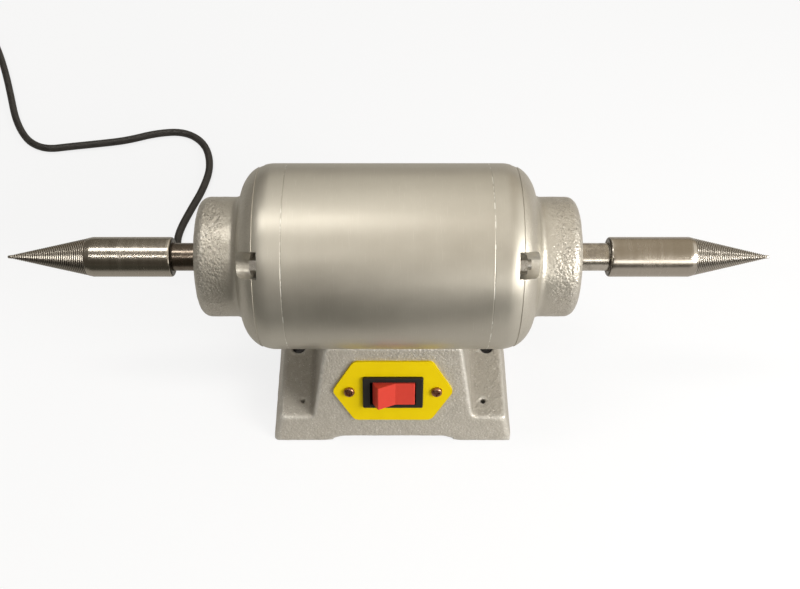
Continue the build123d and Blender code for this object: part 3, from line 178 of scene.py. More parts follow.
# %% Wiring
class Wiring:
    """Adds nodes to one node tree. An input is a value or another node's output."""

    def __init__(self, tree):
        self.tree = tree

    def add(self, kind, inputs=None, **settings):
        made = self.tree.nodes.new("ShaderNode" + kind)
        for name, value in settings.items():
            setattr(made, name, value)
        for name, value in (inputs or {}).items():
            self.feed(made.inputs[name], value)
        return made

    def feed(self, socket, value):
        """Links another node's output, or sets a value. A colour is red, green and blue."""
        if isinstance(value, bpy.types.NodeSocket):
            self.tree.links.new(value, socket)
        elif socket.type == "RGBA":
            socket.default_value = (*value, 1.0)
        else:
            socket.default_value = value

    def maths(self, operation, *values):
        return self.add("Math", dict(enumerate(values)), operation=operation).outputs[0]

    def times(self, first, second):
        return self.maths("MULTIPLY", first, second)

    def spread(self, value, low, high, to_low=0.0, to_high=1.0):
        """A value from low..high carried to to_low..to_high, and held there past its ends."""
        inputs = {"Value": value, "From Min": low, "From Max": high, "To Min": to_low, "To Max": to_high}
        return self.add("MapRange", inputs).outputs["Result"]

    def mix(self, share, first, second):
        """Two colours blended by a share."""
        return self.add("Mix", {0: share, 6: first, 7: second}, data_type="RGBA").outputs[2]

    def noise(self, place, scale, detail=2.0, roughness=0.5):
        inputs = {"Vector": place, "Scale": scale, "Detail": detail, "Roughness": roughness}
        return self.add("TexNoise", inputs).outputs[0]

    def parts(self, vector):
        """The X, Y and Z of a vector."""
        return self.add("SeparateXYZ", {0: vector}).outputs

    def attribute(self, name):
        """A number that the mesh carries at its points, or 0 where it carries none."""
        return self.add("Attribute", attribute_name=name).outputs["Fac"]

    def bump(self, height, depth, strength=1.0):
        """A normal from heights of 0 to 1, where 1 stands the given depth proud, in metres."""
        inputs = {"Height": height, "Distance": depth, "Strength": strength}
        return self.add("Bump", inputs).outputs[0]

    def group(self, tree, *values):
        """The outputs of a node group. The values are its place and its numbers, in order."""
        return self.add("Group", dict(enumerate(values)), node_tree=tree).outputs


def bare_wiring(owner):
    """Clears the nodes of a new material or world, and returns the net to build in."""
    owner.use_nodes = True
    owner.node_tree.nodes.clear()
    return Wiring(owner.node_tree)


# %% [markdown]
# ## Room, bench and lamps
#
# Paint that holds metal flakes shows what stands round it, so the room matters as much as
# the lamps. Mirrored rays meet a room of their own: dim warm walls, a bright patch overhead
# on the right, a bright strip at the back, and a dark side where a photographer would stand,
# which gives bright metal something to draw its lines with. All other rays meet plain even
# daylight, and the camera sees white. The bench is split the same way: white to the camera,
# but a matt surface that takes the object's shadow and is painted dark as shade under the
# base, and in reflections it glows with a painted reflection of itself, darker at the front.


# %% Room
def looks(net):
    """1 for rays from the camera, and 1 for mirrored or refracted rays, as two sockets."""
    path = net.add("LightPath").outputs
    return path["Is Camera Ray"], net.maths("MAXIMUM", path["Is Glossy Ray"], path["Is Transmission Ray"])


WHITE = (1.0, 1.0, 1.0)
LEFT_WALL, RIGHT_WALL = (0.17, 0.15, 0.12), (0.52, 0.44, 0.33)
OVERHEAD, BACK_STRIP = (1.25, 1.2, 1.1), (1.15, 1.10, 0.99)
DARK_FRONT, DARK_FOOT = (0.07, 0.06, 0.045), (0.10, 0.09, 0.07)
FRONT_WAY = (-0.35, -0.90, 0.10)  # towards the middle of the dark side
DAYLIGHT, DAYLIGHT_STRENGTH = (1.0, 0.985, 0.95), 0.26

world = bpy.data.worlds.new("room")
room = bare_wiring(world)
camera_sees, mirror_sees = looks(room)
toward = room.add("TexCoord").outputs["Generated"]
way = room.parts(toward)
walls = room.mix(room.spread(way["X"], -0.25, 0.20), LEFT_WALL, RIGHT_WALL)
overhead = room.times(room.spread(way["X"], 0.42, 0.65), room.spread(way["Z"], 0.25, 0.55))
walls = room.mix(overhead, walls, OVERHEAD)
middle = room.spread(room.maths("ABSOLUTE", way["X"]), 0.17, 0.08)
strip = room.times(middle, room.spread(way["Z"], 0.12, 0.32))
walls = room.mix(room.times(strip, room.spread(way["Y"], 0.2, 0.5)), walls, BACK_STRIP)
front = room.add("VectorMath", {0: toward, 1: FRONT_WAY}, operation="DOT_PRODUCT").outputs["Value"]
walls = room.mix(room.spread(front, 0.60, 0.92), walls, DARK_FRONT)
walls = room.mix(room.spread(way["Z"], 0.14, 0.04), walls, DARK_FOOT)
seen = room.add("Background", {"Color": room.mix(camera_sees, walls, WHITE), "Strength": 1.0})
daylight = room.add("Background", {"Color": DAYLIGHT, "Strength": DAYLIGHT_STRENGTH})
either = room.maths("MAXIMUM", camera_sees, mirror_sees)
mixed = room.add("MixShader", {0: either, 1: daylight.outputs[0], 2: seen.outputs[0]})
room.add("OutputWorld", {"Surface": mixed.outputs[0]})
bpy.context.scene.world = world
print("room of", len(world.node_tree.nodes), "nodes")

# %% Bench finish
BASE_X = 2.6  # the base stands this far to the right of the motor's middle
# The bench is painted dark as shade in a patch under the base, and these are half its sides.
UNDER_BASE_X, UNDER_BASE_Y = 60.0, 50.0  # half of the bench's dark patch under the base
# Colours of the painted reflection that the bench glows with for mirrored rays.
MIRRORED_LEFT, MIRRORED_RIGHT = (0.48, 0.455, 0.41), (0.64, 0.60, 0.55)
MIRRORED_FRONT = (0.07, 0.065, 0.05)
MATT_GREY, MATT_PALE, SHADE_UNDER_BASE = (0.45, 0.44, 0.42), (0.93, 0.93, 0.93), (0.05, 0.05, 0.05)
WHITE_NEAR, WHITE_FAR = 0.7, 1.8  # the bench turns from pale to pure white between these
NEAR_WHITENESS = 0.80

bench_material = bpy.data.materials.new("pale_bench")
wires = bare_wiring(bench_material)
camera_sees, mirror_sees = looks(wires)
bench_place = wires.add("TexCoord").outputs["Object"]
spot = wires.parts(bench_place)

# Mirrored rays: the bench glows with a painted reflection of itself, paler on the right, and
# its front edge is painted dark, slanting back towards the right.
slant = wires.maths("MULTIPLY_ADD", wires.maths("MAXIMUM", spot["X"], 0.0), 1.2, spot["Y"])
painted_reflection_tone = wires.mix(wires.spread(spot["X"], -0.15, 0.15), MIRRORED_LEFT, MIRRORED_RIGHT)
painted_reflection_tone = wires.mix(wires.spread(slant, -0.17, -0.10), MIRRORED_FRONT, painted_reflection_tone)
mirrored = wires.add("Emission", {"Color": painted_reflection_tone, "Strength": 1.0})

# All other rays: a matt surface, painted dark as shade under the base, and white to the camera.
from_base_x = wires.maths("ABSOLUTE", wires.maths("SUBTRACT", spot["X"], BASE_X * MM))
over_x = wires.maths("LESS_THAN", from_base_x, UNDER_BASE_X * MM)
over_y = wires.maths("LESS_THAN", wires.maths("ABSOLUTE", spot["Y"]), UNDER_BASE_Y * MM)
open_bench = wires.maths("SUBTRACT", 1.0, wires.times(over_x, over_y))
matt_tone = wires.mix(camera_sees, MATT_GREY, MATT_PALE)
matt = wires.add("BsdfDiffuse", {"Color": wires.mix(open_bench, SHADE_UNDER_BASE, matt_tone)})
glow = wires.add("Emission", {"Color": WHITE, "Strength": 1.0})
distance = wires.add("VectorMath", {0: bench_place}, operation="LENGTH").outputs["Value"]
whiteness = wires.spread(distance, WHITE_NEAR, WHITE_FAR, NEAR_WHITENESS, 1.0)
glow_share = wires.times(wires.times(camera_sees, whiteness), open_bench)
direct = wires.add("MixShader", {0: glow_share, 1: matt.outputs[0], 2: glow.outputs[0]})
mixed = wires.add("MixShader", {0: mirror_sees, 1: direct.outputs[0], 2: mirrored.outputs[0]})
wires.add("OutputMaterial", {"Surface": mixed.outputs[0]})
print("bench finish of", len(bench_material.node_tree.nodes), "nodes")

# %% Bench
BENCH_HALF, BENCH_TOP = 6.0, -0.0002

bench_mesh = bpy.data.meshes.new("bench_top")
corners = [(x * BENCH_HALF, y * BENCH_HALF, BENCH_TOP) for x, y in ((-1, -1), (1, -1), (1, 1), (-1, 1))]
bench_mesh.from_pydata(corners, [], [(0, 1, 2, 3)])
bench_mesh.materials.append(bench_material)
bench = linked("bench_top", bench_mesh)
print("bench", 2 * BENCH_HALF, "m across")

# %% Lamps
MOTOR_MIDDLE = (0, 0, 0.09)
WARM_WHITE, COOL_WHITE = (1.0, 0.97, 0.92), (1.0, 0.98, 0.94)

# Each row: the name, the place, the place it faces, the two sides, the power and the tint.
for name, place, aim, sides, power, tint in (
    ("ceiling_tube", (-0.48, 0.09, 1.4), (-0.48, 0.09, 0), (0.72, 0.20), 4.4, WARM_WHITE),
    ("ceiling_panel", (-0.03, 0.25, 1.4), (-0.03, 0.25, 0), (0.36, 1.9), 1.8, WARM_WHITE),
    ("left_tube", (-0.42, -0.73, 1.10), (-0.2, 0, 0.09), (0.60, 0.035), 1.4, WARM_WHITE),
    ("window", (0.55, -1.0, 0.52), (0.1, 0, 0.09), (0.70, 0.30), 2.2, WARM_WHITE),
    ("right_lamp", (0.66, -0.40, 0.42), MOTOR_MIDDLE, (0.4, 0.4), 5.8, COOL_WHITE),
):
    data = bpy.data.lights.new(name, "AREA")
    data.shape, data.size, data.size_y = "RECTANGLE", *sides
    data.energy, data.color = power, tint
    lamp = linked(name, data)
    lamp.location = place
    lamp.rotation_euler = (Vector(aim) - Vector(place)).to_track_quat("-Z", "Y").to_euler()
print("lamps:", [light.name for light in bpy.data.lights])

# %% [markdown]
# ## Shared surface effects
#
# Three effects turn up on many finishes, so each is a node group that is built once. Turned
# marks are the fine rings that a lathe tool or a grinding belt leaves round the shaft's line.
# Cast grain is the pebbled skin of flake paint over sand casting. Handling is the faint
# smearing and fine scratching that every touched surface picks up. Each takes the place on
# the surface and two numbers, which its first lines name, and puts out plain numbers, so
# every finish can use them for its own colours.


# %% Groups
def new_group(name, inputs, outputs):
    """An empty node group with named number inputs and outputs. Returns the tree and both ends."""
    tree = bpy.data.node_groups.new(name, "ShaderNodeTree")
    tree.interface.new_socket("Place", in_out="INPUT", socket_type="NodeSocketVector")
    for socket_name, value in inputs.items():
        socket = tree.interface.new_socket(socket_name, in_out="INPUT", socket_type="NodeSocketFloat")
        socket.default_value = value
    for socket_name in outputs:
        tree.interface.new_socket(socket_name, in_out="OUTPUT", socket_type="NodeSocketFloat")
    net = Wiring(tree)
    return net, tree.nodes.new("NodeGroupInput").outputs, tree.nodes.new("NodeGroupOutput").inputs


# %% Turned marks
# Bands of noise that change quickly along X and hardly at all round the axis.
turned, given, result = new_group(
    "turned_marks", {"Rings per metre": 2500.0, "Wander": 0.02}, ["Height", "Tone"]
)
stretch = turned.add("CombineXYZ", {"X": 1.0, "Y": given["Wander"], "Z": given["Wander"]}).outputs[0]
stretched = turned.add("VectorMath", {0: given["Place"], 1: stretch}, operation="MULTIPLY").outputs[0]
fine = turned.noise(stretched, given["Rings per metre"], 3.0, 0.7)
broad = turned.noise(stretched, turned.times(given["Rings per metre"], 0.09), 2.0)
turned.feed(result["Height"], fine)
turned.feed(result["Tone"], turned.maths("MULTIPLY_ADD", fine, 0.35, turned.times(broad, 0.65)))
turned_marks = turned.tree
print(turned_marks.name, len(turned_marks.nodes), "nodes")

# %% Cast grain
# Round pebbles with wandering sizes, and small bright flakes that stand out of them.
FLAKE_OFFSET = (0.0012, 0.0012, 0.0012)  # keeps the flakes off the middles of the pebbles
grain, given, result = new_group(
    "cast_grain", {"Pebbles per metre": 900.0, "Flakes": 0.5}, ["Height", "Flake", "Tone"]
)
drift = grain.noise(given["Place"], 260.0, 2.0)
pebble_cells = {"Vector": given["Place"], "Scale": given["Pebbles per metre"]}
cells = grain.add("TexVoronoi", pebble_cells, feature="SMOOTH_F1")
cells.inputs["Smoothness"].default_value = 0.6
pebble = grain.maths("SUBTRACT", 1.0, cells.outputs["Distance"])
swell = grain.noise(given["Place"], grain.times(given["Pebbles per metre"], 0.55), 4.0, 0.6)
height = grain.maths("MULTIPLY_ADD", pebble, 0.55, grain.times(swell, 0.6))
moved = grain.add("VectorMath", {0: given["Place"], 1: FLAKE_OFFSET}, operation="ADD").outputs[0]
speck_scale = grain.times(given["Pebbles per metre"], 1.6)
specks = grain.add("TexVoronoi", {"Vector": moved, "Scale": speck_scale}).outputs
bright = grain.spread(grain.add("SeparateColor", {0: specks["Color"]}).outputs[0], 0.62, 0.84)
round_speck = grain.spread(specks["Distance"], 0.42, 0.18)
patchy = grain.spread(drift, 0.42, 0.62)
flake = grain.times(grain.times(bright, round_speck), patchy)
grain.feed(result["Height"], height)
grain.feed(result["Flake"], grain.times(flake, given["Flakes"]))
grain.feed(result["Tone"], grain.maths("MULTIPLY_ADD", drift, 0.5, grain.times(swell, 0.5)))
cast_grain = grain.tree
print(cast_grain.name, len(cast_grain.nodes), "nodes")

# %% Handling
# Cloudy smears, and short scratches where stretched noise crosses a threshold.
SCRATCH_STRETCH = (3800.0, 90.0, 130.0)
SCRATCH_TURNS = ((0.4, 0.9, 0.3), (2.1, 0.2, 1.3))
touch, given, result = new_group(
    "handling", {"Smears per metre": 45.0, "Scratches": 0.5}, ["Smear", "Scratch"]
)
smear = touch.noise(given["Place"], given["Smears per metre"], 5.0, 0.62)
lines = []
for turn in SCRATCH_TURNS:
    mapped = touch.add("Mapping", {"Vector": given["Place"], "Rotation": turn, "Scale": SCRATCH_STRETCH})
    lines.append(touch.spread(touch.noise(mapped.outputs[0], 1.0, 1.0), 0.70, 0.76))
scratch = touch.maths("MAXIMUM", *lines)
touch.feed(result["Smear"], touch.spread(smear, 0.3, 0.72))
touch.feed(result["Scratch"], touch.times(scratch, given["Scratches"]))
handling = touch.tree
print(handling.name, len(handling.nodes), "nodes")


# %% A finish: one Principled shader and the nodes that feed it
def finish(name, paint, **plain):
    """A material named for its finish. Plain values go on the shader's own sockets, and the
    paint function returns the sockets that change over the surface."""
    made = bpy.data.materials.new(name)
    net = bare_wiring(made)
    place = net.add("TexCoord").outputs["Object"]
    shader = net.add("BsdfPrincipled")
    for socket, value in {**plain, **paint(net, place)}.items():
        net.feed(shader.inputs[socket.replace("_", " ")], value)
    net.add("OutputMaterial", {"Surface": shader.outputs[0]})
    return made


def surface(base, rough, normal):
    """The three sockets that every paint function returns."""
    return {"Base Color": base, "Roughness": rough, "Normal": normal}


def dress(material, *names):
    """Gives one finish to CAD nodes or pieces."""
    for name in names:
        piece = nodes.get(name) or bpy.data.objects[name]
        piece.data.materials.clear()
        piece.data.materials.append(material)


# %% [markdown]
# ## Flake paint on the castings
#
# The base and both end shields are sand castings under silver flake paint. The paint dries
# in pebbles and catches the light in scattered specks. Corners wear brighter, and hollows are
# darkened as dust and painted shade. The meshes below carry an attribute named edge, which
# says how far a point stands proud of its surroundings, so the wear, dust and painted shade
# follow the shape, and one named hollow, which is 1 on the walls of the base's holes, where
# they are painted dark as shade. On the end shields, edge also gives the pocket lips a
# painted highlight.

# %% Flake paint
PAINT_DARK, PAINT_PALE = (0.45, 0.42, 0.365), (0.62, 0.585, 0.52)
DUST_AND_SHADE, WORN_EDGE_AND_HIGHLIGHT = (0.17, 0.145, 0.115), (0.74, 0.72, 0.67)
SILVER_FLAKE, HOLE_SHADE = (0.93, 0.92, 0.88), (0.018, 0.015, 0.012)


def flake_paint(net, place, pale=PAINT_PALE, pitting=0.35):
    pebbles = net.group(cast_grain, place, 780.0, 1.0)
    edge = net.attribute("edge")
    # Convex places are paler as wear, and on the end shields' pocket lips this paleness is a painted
    # highlight.
    worn = net.spread(edge, 0.15, 0.8, 0.0, 0.7)
    # Concave places are darkened as dust and painted shade, and the noise pits take the same dark colour.
    dust_and_shade = net.spread(edge, -0.15, -0.8, 0.0, 0.55)
    pits = net.spread(net.noise(place, 1150.0, 3.0, 0.65), 0.42, 0.34, 0.0, pitting)
    base = net.mix(pebbles["Tone"], PAINT_DARK, pale)
    base = net.mix(net.maths("MAXIMUM", dust_and_shade, pits), base, DUST_AND_SHADE)
    base = net.mix(worn, base, WORN_EDGE_AND_HIGHLIGHT)
    base = net.mix(pebbles["Flake"], base, SILVER_FLAKE)
    # The walls of the base's holes are painted dark as shade.
    base = net.mix(net.attribute("hollow"), base, HOLE_SHADE)
    rough = net.spread(pebbles["Tone"], 0.3, 0.7, 0.50, 0.36)
    rough = net.maths("SUBTRACT", rough, net.times(pebbles["Flake"], 0.15))
    height = net.maths("SUBTRACT", pebbles["Height"], net.times(pits, 0.6))
    return surface(base, rough, net.bump(height, 0.00045))


base_paint = finish("silver_flake_paint", flake_paint, Metallic=0.38, IOR=1.5)
print(base_paint.name)

# %% [markdown]
# ## Turned and lacquered barrel
#
# The barrel was turned in a lathe and sprayed with thin silver lacquer. Its finish is smooth
# and almost plain, with hair-fine rings, soft clouds, a few scratches, and a bright, broken
# line where it meets each end shield. An end shield wears both finishes: pebbled flake paint
# on its bell, smoother paint on its neck and shoulder, and lacquer on its turned rim.

# %% Lacquer
BARREL_HALF = 49.4  # from the motor's middle to the seam with an end shield
LACQUER_DARK, LACQUER_PALE = (0.50, 0.475, 0.415), (0.58, 0.555, 0.49)
RING_SHINE, SCRATCH_SHINE, SEAM_SHINE = (0.70, 0.68, 0.62), (0.80, 0.78, 0.72), (0.90, 0.89, 0.84)


def lacquered(net, place):
    marks = net.group(turned_marks, place, 1500.0, 0.015)
    touched = net.group(handling, place, 30.0, 0.5)
    along = net.maths("ABSOLUTE", net.parts(place)["X"])
    off_seam = net.maths("ABSOLUTE", net.maths("SUBTRACT", along, BARREL_HALF * MM))
    line = net.spread(off_seam, 0.00030, 0.00012)
    broken = net.spread(net.noise(place, 130.0, 3.0, 0.7), 0.46, 0.56)
    base = net.mix(touched["Smear"], LACQUER_DARK, LACQUER_PALE)
    base = net.mix(net.times(marks["Tone"], 0.25), base, RING_SHINE)
    base = net.mix(net.times(touched["Scratch"], 0.5), base, SCRATCH_SHINE)
    base = net.mix(net.times(line, broken), base, SEAM_SHINE)
    rough = net.spread(touched["Smear"], 0.0, 1.0, 0.37, 0.46)
    height = net.maths("MULTIPLY_ADD", marks["Height"], 0.25, net.times(line, -1.0))
    return surface(base, rough, net.bump(height, 0.00006))


barrel_lacquer = finish("silver_lacquer", lacquered, Metallic=0.85, IOR=1.5)
dress(barrel_lacquer, "motor_barrel")
print(barrel_lacquer.name)

# %% End shield paint
STEP_X, STEP_BLUR = 63.0, 0.1  # the turned part of a shoulder ends here
BELL_FROM, BELL_BLUR = 79.5, 3.0  # the bell's pebbled skin starts about here
SHIELD_PALE = (0.66, 0.63, 0.565)


def shield_paint(net, place):
    """Flake paint and lacquer, blended by the distance along the shaft."""
    painted = flake_paint(net, place, SHIELD_PALE, 0.6)
    lacquer = lacquered(net, place)
    along = net.maths("ABSOLUTE", net.parts(place)["X"])
    ragged = net.maths("MULTIPLY_ADD", net.noise(place, 500.0, 3.0), 0.0003, -0.00015)
    wavy = net.maths("ADD", along, ragged)
    rim = net.spread(wavy, (STEP_X + STEP_BLUR) * MM, (STEP_X - STEP_BLUR) * MM)
    neck = net.spread(along, (BELL_FROM + BELL_BLUR) * MM, (BELL_FROM - BELL_BLUR) * MM, 0.0, 0.75)
    smooth = net.maths("MAXIMUM", rim, neck)
    base = net.mix(smooth, painted["Base Color"], lacquer["Base Color"])
    rough = net.add("Mix", {0: smooth, 2: painted["Roughness"], 3: lacquer["Roughness"]}).outputs[0]
    normals = {0: smooth, 4: painted["Normal"], 5: lacquer["Normal"]}
    return surface(base, rough, net.add("Mix", normals, data_type="VECTOR").outputs[1])


shield_finish = finish("end_shield_paint", shield_paint, Metallic=0.78, IOR=1.5)
print(shield_finish.name)

# %% [markdown]
# ## Skin of a casting
#
# Cast metal is never quite flat: sand and thick paint leave it in gentle waves. Bump in a
# material can't move an outline, so the waves are real here. They are two lattices of smooth
# random heights, a coarse and a fine one, and every point of a casting moves along its
# normal by their sum.


# %% Waves
def lattice_noise(points, size, seed):
    """Random heights of -1 to 1 on a cubic lattice of the given cell size, joined smoothly:
    a point takes the eight heights round it, weighted by f*f*(3 - 2*f) along each axis."""
    heights = np.random.default_rng(seed).uniform(-1, 1, (64, 64, 64))
    cell = points / size
    corner = np.floor(cell).astype(int)
    share = cell - corner
    share = share * share * (3 - 2 * share)
    total = np.zeros(len(points))
    for step in itertools.product((0, 1), repeat=3):
        index = (corner + step) % 64
        weight = np.where(step, share, 1 - share).prod(axis=1)
        total += weight * heights[index[:, 0], index[:, 1], index[:, 2]]
    return total


def cast_waves(points):
    """Waves of the casting's skin, from -1 to 1: 0.6 of a coarse and 0.4 of a fine lattice."""
    return 0.6 * lattice_noise(points, 0.0042, 11) + 0.4 * lattice_noise(points, 0.0019, 12)


# %% Meshes as arrays
def vectors(items, name="co"):
    """A vector of each item, such as each vertex's place, as the rows of an array."""
    flat = np.zeros(len(items) * 3)
    items.foreach_get(name, flat)
    return flat.reshape(-1, 3)


def shade_smooth(mesh):
    mesh.polygons.foreach_set("use_smooth", np.ones(len(mesh.polygons), bool))


def keep_numbers(mesh, name, values):
    """Stores one number a point, for a finish to read by its name."""
    made = mesh.attributes.new(name, "FLOAT", "POINT")
    made.data.foreach_set("value", values.astype(np.float32))


def neighbour_mean(mesh, values):
    """The mean of each point's neighbours, where two points are neighbours if an edge joins them."""
    ends = np.zeros(len(mesh.edges) * 2, np.int32)
    mesh.edges.foreach_get("vertices", ends)
    ends = ends.reshape(-1, 2)
    total, count = np.zeros_like(values), np.zeros(len(values))
    for here, there in ((0, 1), (1, 0)):
        np.add.at(total, ends[:, here], values[ends[:, there]])
        np.add.at(count, ends[:, here], 1)
    return total / np.maximum(count, 1)[:, None]


def apply_modifiers(piece):
    """Swaps a piece's mesh for the one that its modifiers make."""
    evaluated = piece.evaluated_get(bpy.context.evaluated_depsgraph_get())
    made, old = bpy.data.meshes.new_from_object(evaluated), piece.data
    piece.modifiers.clear()
    piece.data = made
    bpy.data.meshes.remove(old)
    made.name = piece.name
    return made


# %% Surfaces on a grid
SAME_PLACE = 0.0000005  # points nearer than this are one point


def grid_surface(name, points):
    """A mesh from a grid of points, rows along the profile and columns round it: cell (u, v)
    joins rows u and u + 1 and columns v and v + 1, and the last column joins the first. Rows
    that shrink to a point are merged, which closes the poles."""
    rows, columns = points.shape[:2]
    u, v = np.meshgrid(np.arange(rows - 1), np.arange(columns), indexing="ij")
    after = (v + 1) % columns
    row, next_row = u * columns, (u + 1) * columns
    cells = np.stack([row + v, row + after, next_row + after, next_row + v])
    mesh = bpy.data.meshes.new(name)
    mesh.from_pydata(points.reshape(-1, 3), [], cells.reshape(4, -1).T.tolist())
    work = bmesh.new()
    work.from_mesh(mesh)
    bmesh.ops.remove_doubles(work, verts=work.verts, dist=SAME_PLACE)
    bmesh.ops.recalc_face_normals(work, faces=work.faces)
    work.to_mesh(mesh)
    work.free()
    shade_smooth(mesh)
    return linked(name, mesh)


# %% Tools that cut holes
def prism(outline, start, run):
    """A closed prism in millimetres: start + outline, and start + outline + run, with capped ends."""
    outline, start, run = np.array(outline, float), np.array(start, float), np.array(run, float)
    middle = np.repeat(outline.mean(axis=0)[None], len(outline), axis=0)
    rows = np.stack([middle, outline, outline + run, middle + run]) + start
    return grid_surface("hole_tool", rows * MM)


def plug(start, run, radius):
    """A round plug: the outline is radius*(cos a, sin a) in the plane across the run."""
    across = np.cross(run, (0.36, 0.48, 0.80))
    across /= np.linalg.norm(across)
    up = np.cross(run, across) / np.linalg.norm(run)
    turn = (np.arange(32) * 2 * math.pi / 32)[:, None]
    return prism(radius * (np.cos(turn) * across + np.sin(turn) * up), start, run)


def drill(piece, *groups):
    """Cuts groups of tools out of a piece. The tools of one group don't touch each other."""
    for tools in groups:
        joined = bmesh.new()
        for tool in tools:
            joined.from_mesh(tool.data)
        joined.to_mesh(tools[0].data)
        joined.free()
        cut = piece.modifiers.new("hole", "BOOLEAN")
        cut.object, cut.solver = tools[0], "EXACT"
    apply_modifiers(piece)
    for tool in itertools.chain(*groups):
        bpy.data.objects.remove(tool)


# %% [markdown]
# ## Base casting
#
# The mechanical solid of the base has knife edges where its faces cross. Sand and paint round
# all of them. A bevel would need every edge picked by hand, so the whole solid is turned into
# a skin of even small squares instead, and every point is moved towards the mean of its
# neighbours, which rounds corners first. How far a point moved says how sharp its corner
# was, and that is kept as the attribute edge. The small corner holes would close up in such
# a skin, so they are drilled afterwards.

# %% Base casting
SKIN_CELL, CORNER_ROUNDS, EDGE_ROUNDS = 0.00115, 4, 2
BASE_RELIEF = 0.00012
MERGE_DISTANCE = 0.000001

mesh = nodes["base_casting"].data.copy()
mesh.name = "cast_base"
work = bmesh.new()
work.from_mesh(mesh)
bmesh.ops.remove_doubles(work, verts=work.verts, dist=MERGE_DISTANCE)
work.to_mesh(mesh)
work.free()
mesh.materials.clear()
base = linked("cast_base", mesh)
remesh = base.modifiers.new("even_skin", "REMESH")
remesh.mode, remesh.voxel_size, remesh.adaptivity = "VOXEL", SKIN_CELL, 0.0
skin = apply_modifiers(base)
before = points = vectors(skin.vertices)
for _ in range(CORNER_ROUNDS):
    points = 0.5 * points + 0.5 * neighbour_mean(skin, points)
skin.vertices.foreach_set("co", points.ravel())
skin.update()
normals = vectors(skin.vertex_normals, "vector")
proud = ((before - points) * normals).sum(axis=1)[:, None]
for _ in range(EDGE_ROUNDS):
    proud = 0.5 * proud + 0.5 * neighbour_mean(skin, proud)
keep_numbers(skin, "edge", proud[:, 0] / (0.25 * SKIN_CELL))
points = points + normals * (BASE_RELIEF * cast_waves(points))[:, None]
skin.vertices.foreach_set("co", points.ravel())
shade_smooth(skin)
skin.update()
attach(base, "base")
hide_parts("base_casting")
print(base.name, len(skin.vertices), "points, edge", round(float(proud.max() / SKIN_CELL), 3))

# %% Holes in the base
CORNER_X, CORNER_Y, CORNER_HOLE_R = 49.0, 39.0, 1.3
BENCH_X, BENCH_Y, BENCH_HOLE_R = 52.9, -3.7, 3.5
# The walls of the holes are painted dark as shade from just under the ears' top down, and the attribute
# hollow carries this.
EAR_TOP, DARK_BELOW, DARK_FADE = 15.5, 0.3, 1.2  # the walls darken just under the ears' top
WALL_REACH = 0.5

corner_holes = [(BASE_X + x * CORNER_X, y * CORNER_Y, CORNER_HOLE_R) for x in (-1, 1) for y in (-1, 1)]
drill(base, [plug((x, y, 25), (0, 0, -26), r) for x, y, r in corner_holes])
holes = [(BASE_X + x * BENCH_X, BENCH_Y, BENCH_HOLE_R) for x in (-1, 1)] + corner_holes
points = vectors(base.data.vertices) / MM
inside = [np.hypot(points[:, 0] - x, points[:, 1] - y) < r + WALL_REACH for x, y, r in holes]
sunk = np.any(inside, axis=0) * np.clip((EAR_TOP - DARK_BELOW - points[:, 2]) / DARK_FADE, 0, 1)
keep_numbers(base.data, "hollow", sunk)
dress(base_paint, "cast_base")
print("drilled", len(corner_holes), "corner holes,", len(base.data.polygons), "faces")
print(int((sunk > 0).sum()), "points on dark walls of", len(holes), "holes")

# %% [markdown]
# ## End shields
#
# An end shield is cast, then its rim is turned true with the barrel. The turning stops part of
# the way round the shoulder, where the cast skin still stands a little proud and leaves a
# crisp step. So each shield is one profile carried round the shaft's line: a turned rim, the
# step, a round shoulder, a hollow neck and the bearing bell, then back along the inside. The
# skin's waves start at the step, and are strongest on the bell. The four bolt pockets and
# bolt holes are cut afterwards, which keeps their lips sharp.

# %% Sizes of an end shield, in millimetres
AXIS_Z, BARREL_R = 90.5, 46.5
SHIELD_END = 93.3
SHOULDER_X, SHOULDER_CENTRE_R, SHOULDER_R = 56.0, 30.4, 16.1
SHOULDER_TURN = math.radians(79.683)
NECK_X, NECK_CENTRE_R, NECK_R = 75.775, 34.0, 4.0
BELL_R, BELL_EDGE_R, SHAFT_HOLE_R = 30.0, 5.0, 8.2
BELL_EDGE_X, BELL_FACE_R = SHIELD_END - BELL_EDGE_R, BELL_R - BELL_EDGE_R
SPIGOT_X, SPIGOT_R = 45.4, 41.45
SAMPLE = 0.8  # between neighbouring points of the profile


# %% Profile of an end shield
def steps(start, stop, pitch=SAMPLE):
    """Even steps from start up to, but not including, stop."""
    return np.linspace(start, stop, max(2, int(abs(stop - start) / pitch) + 1))[:-1]


def level(start, stop, radius):
    """Points (x, radius) of a straight run."""
    x = steps(start, stop)
    return np.stack([x, 0 * x + radius], axis=1)


def arc(middle_x, middle_r, radius, start, stop):
    """Points (middle_x + radius*cos a, middle_r + radius*sin a) for a from start to stop."""
    turn = steps(start, stop, SAMPLE / radius)
    return np.stack([middle_x + radius * np.cos(turn), middle_r + radius * np.sin(turn)], axis=1)


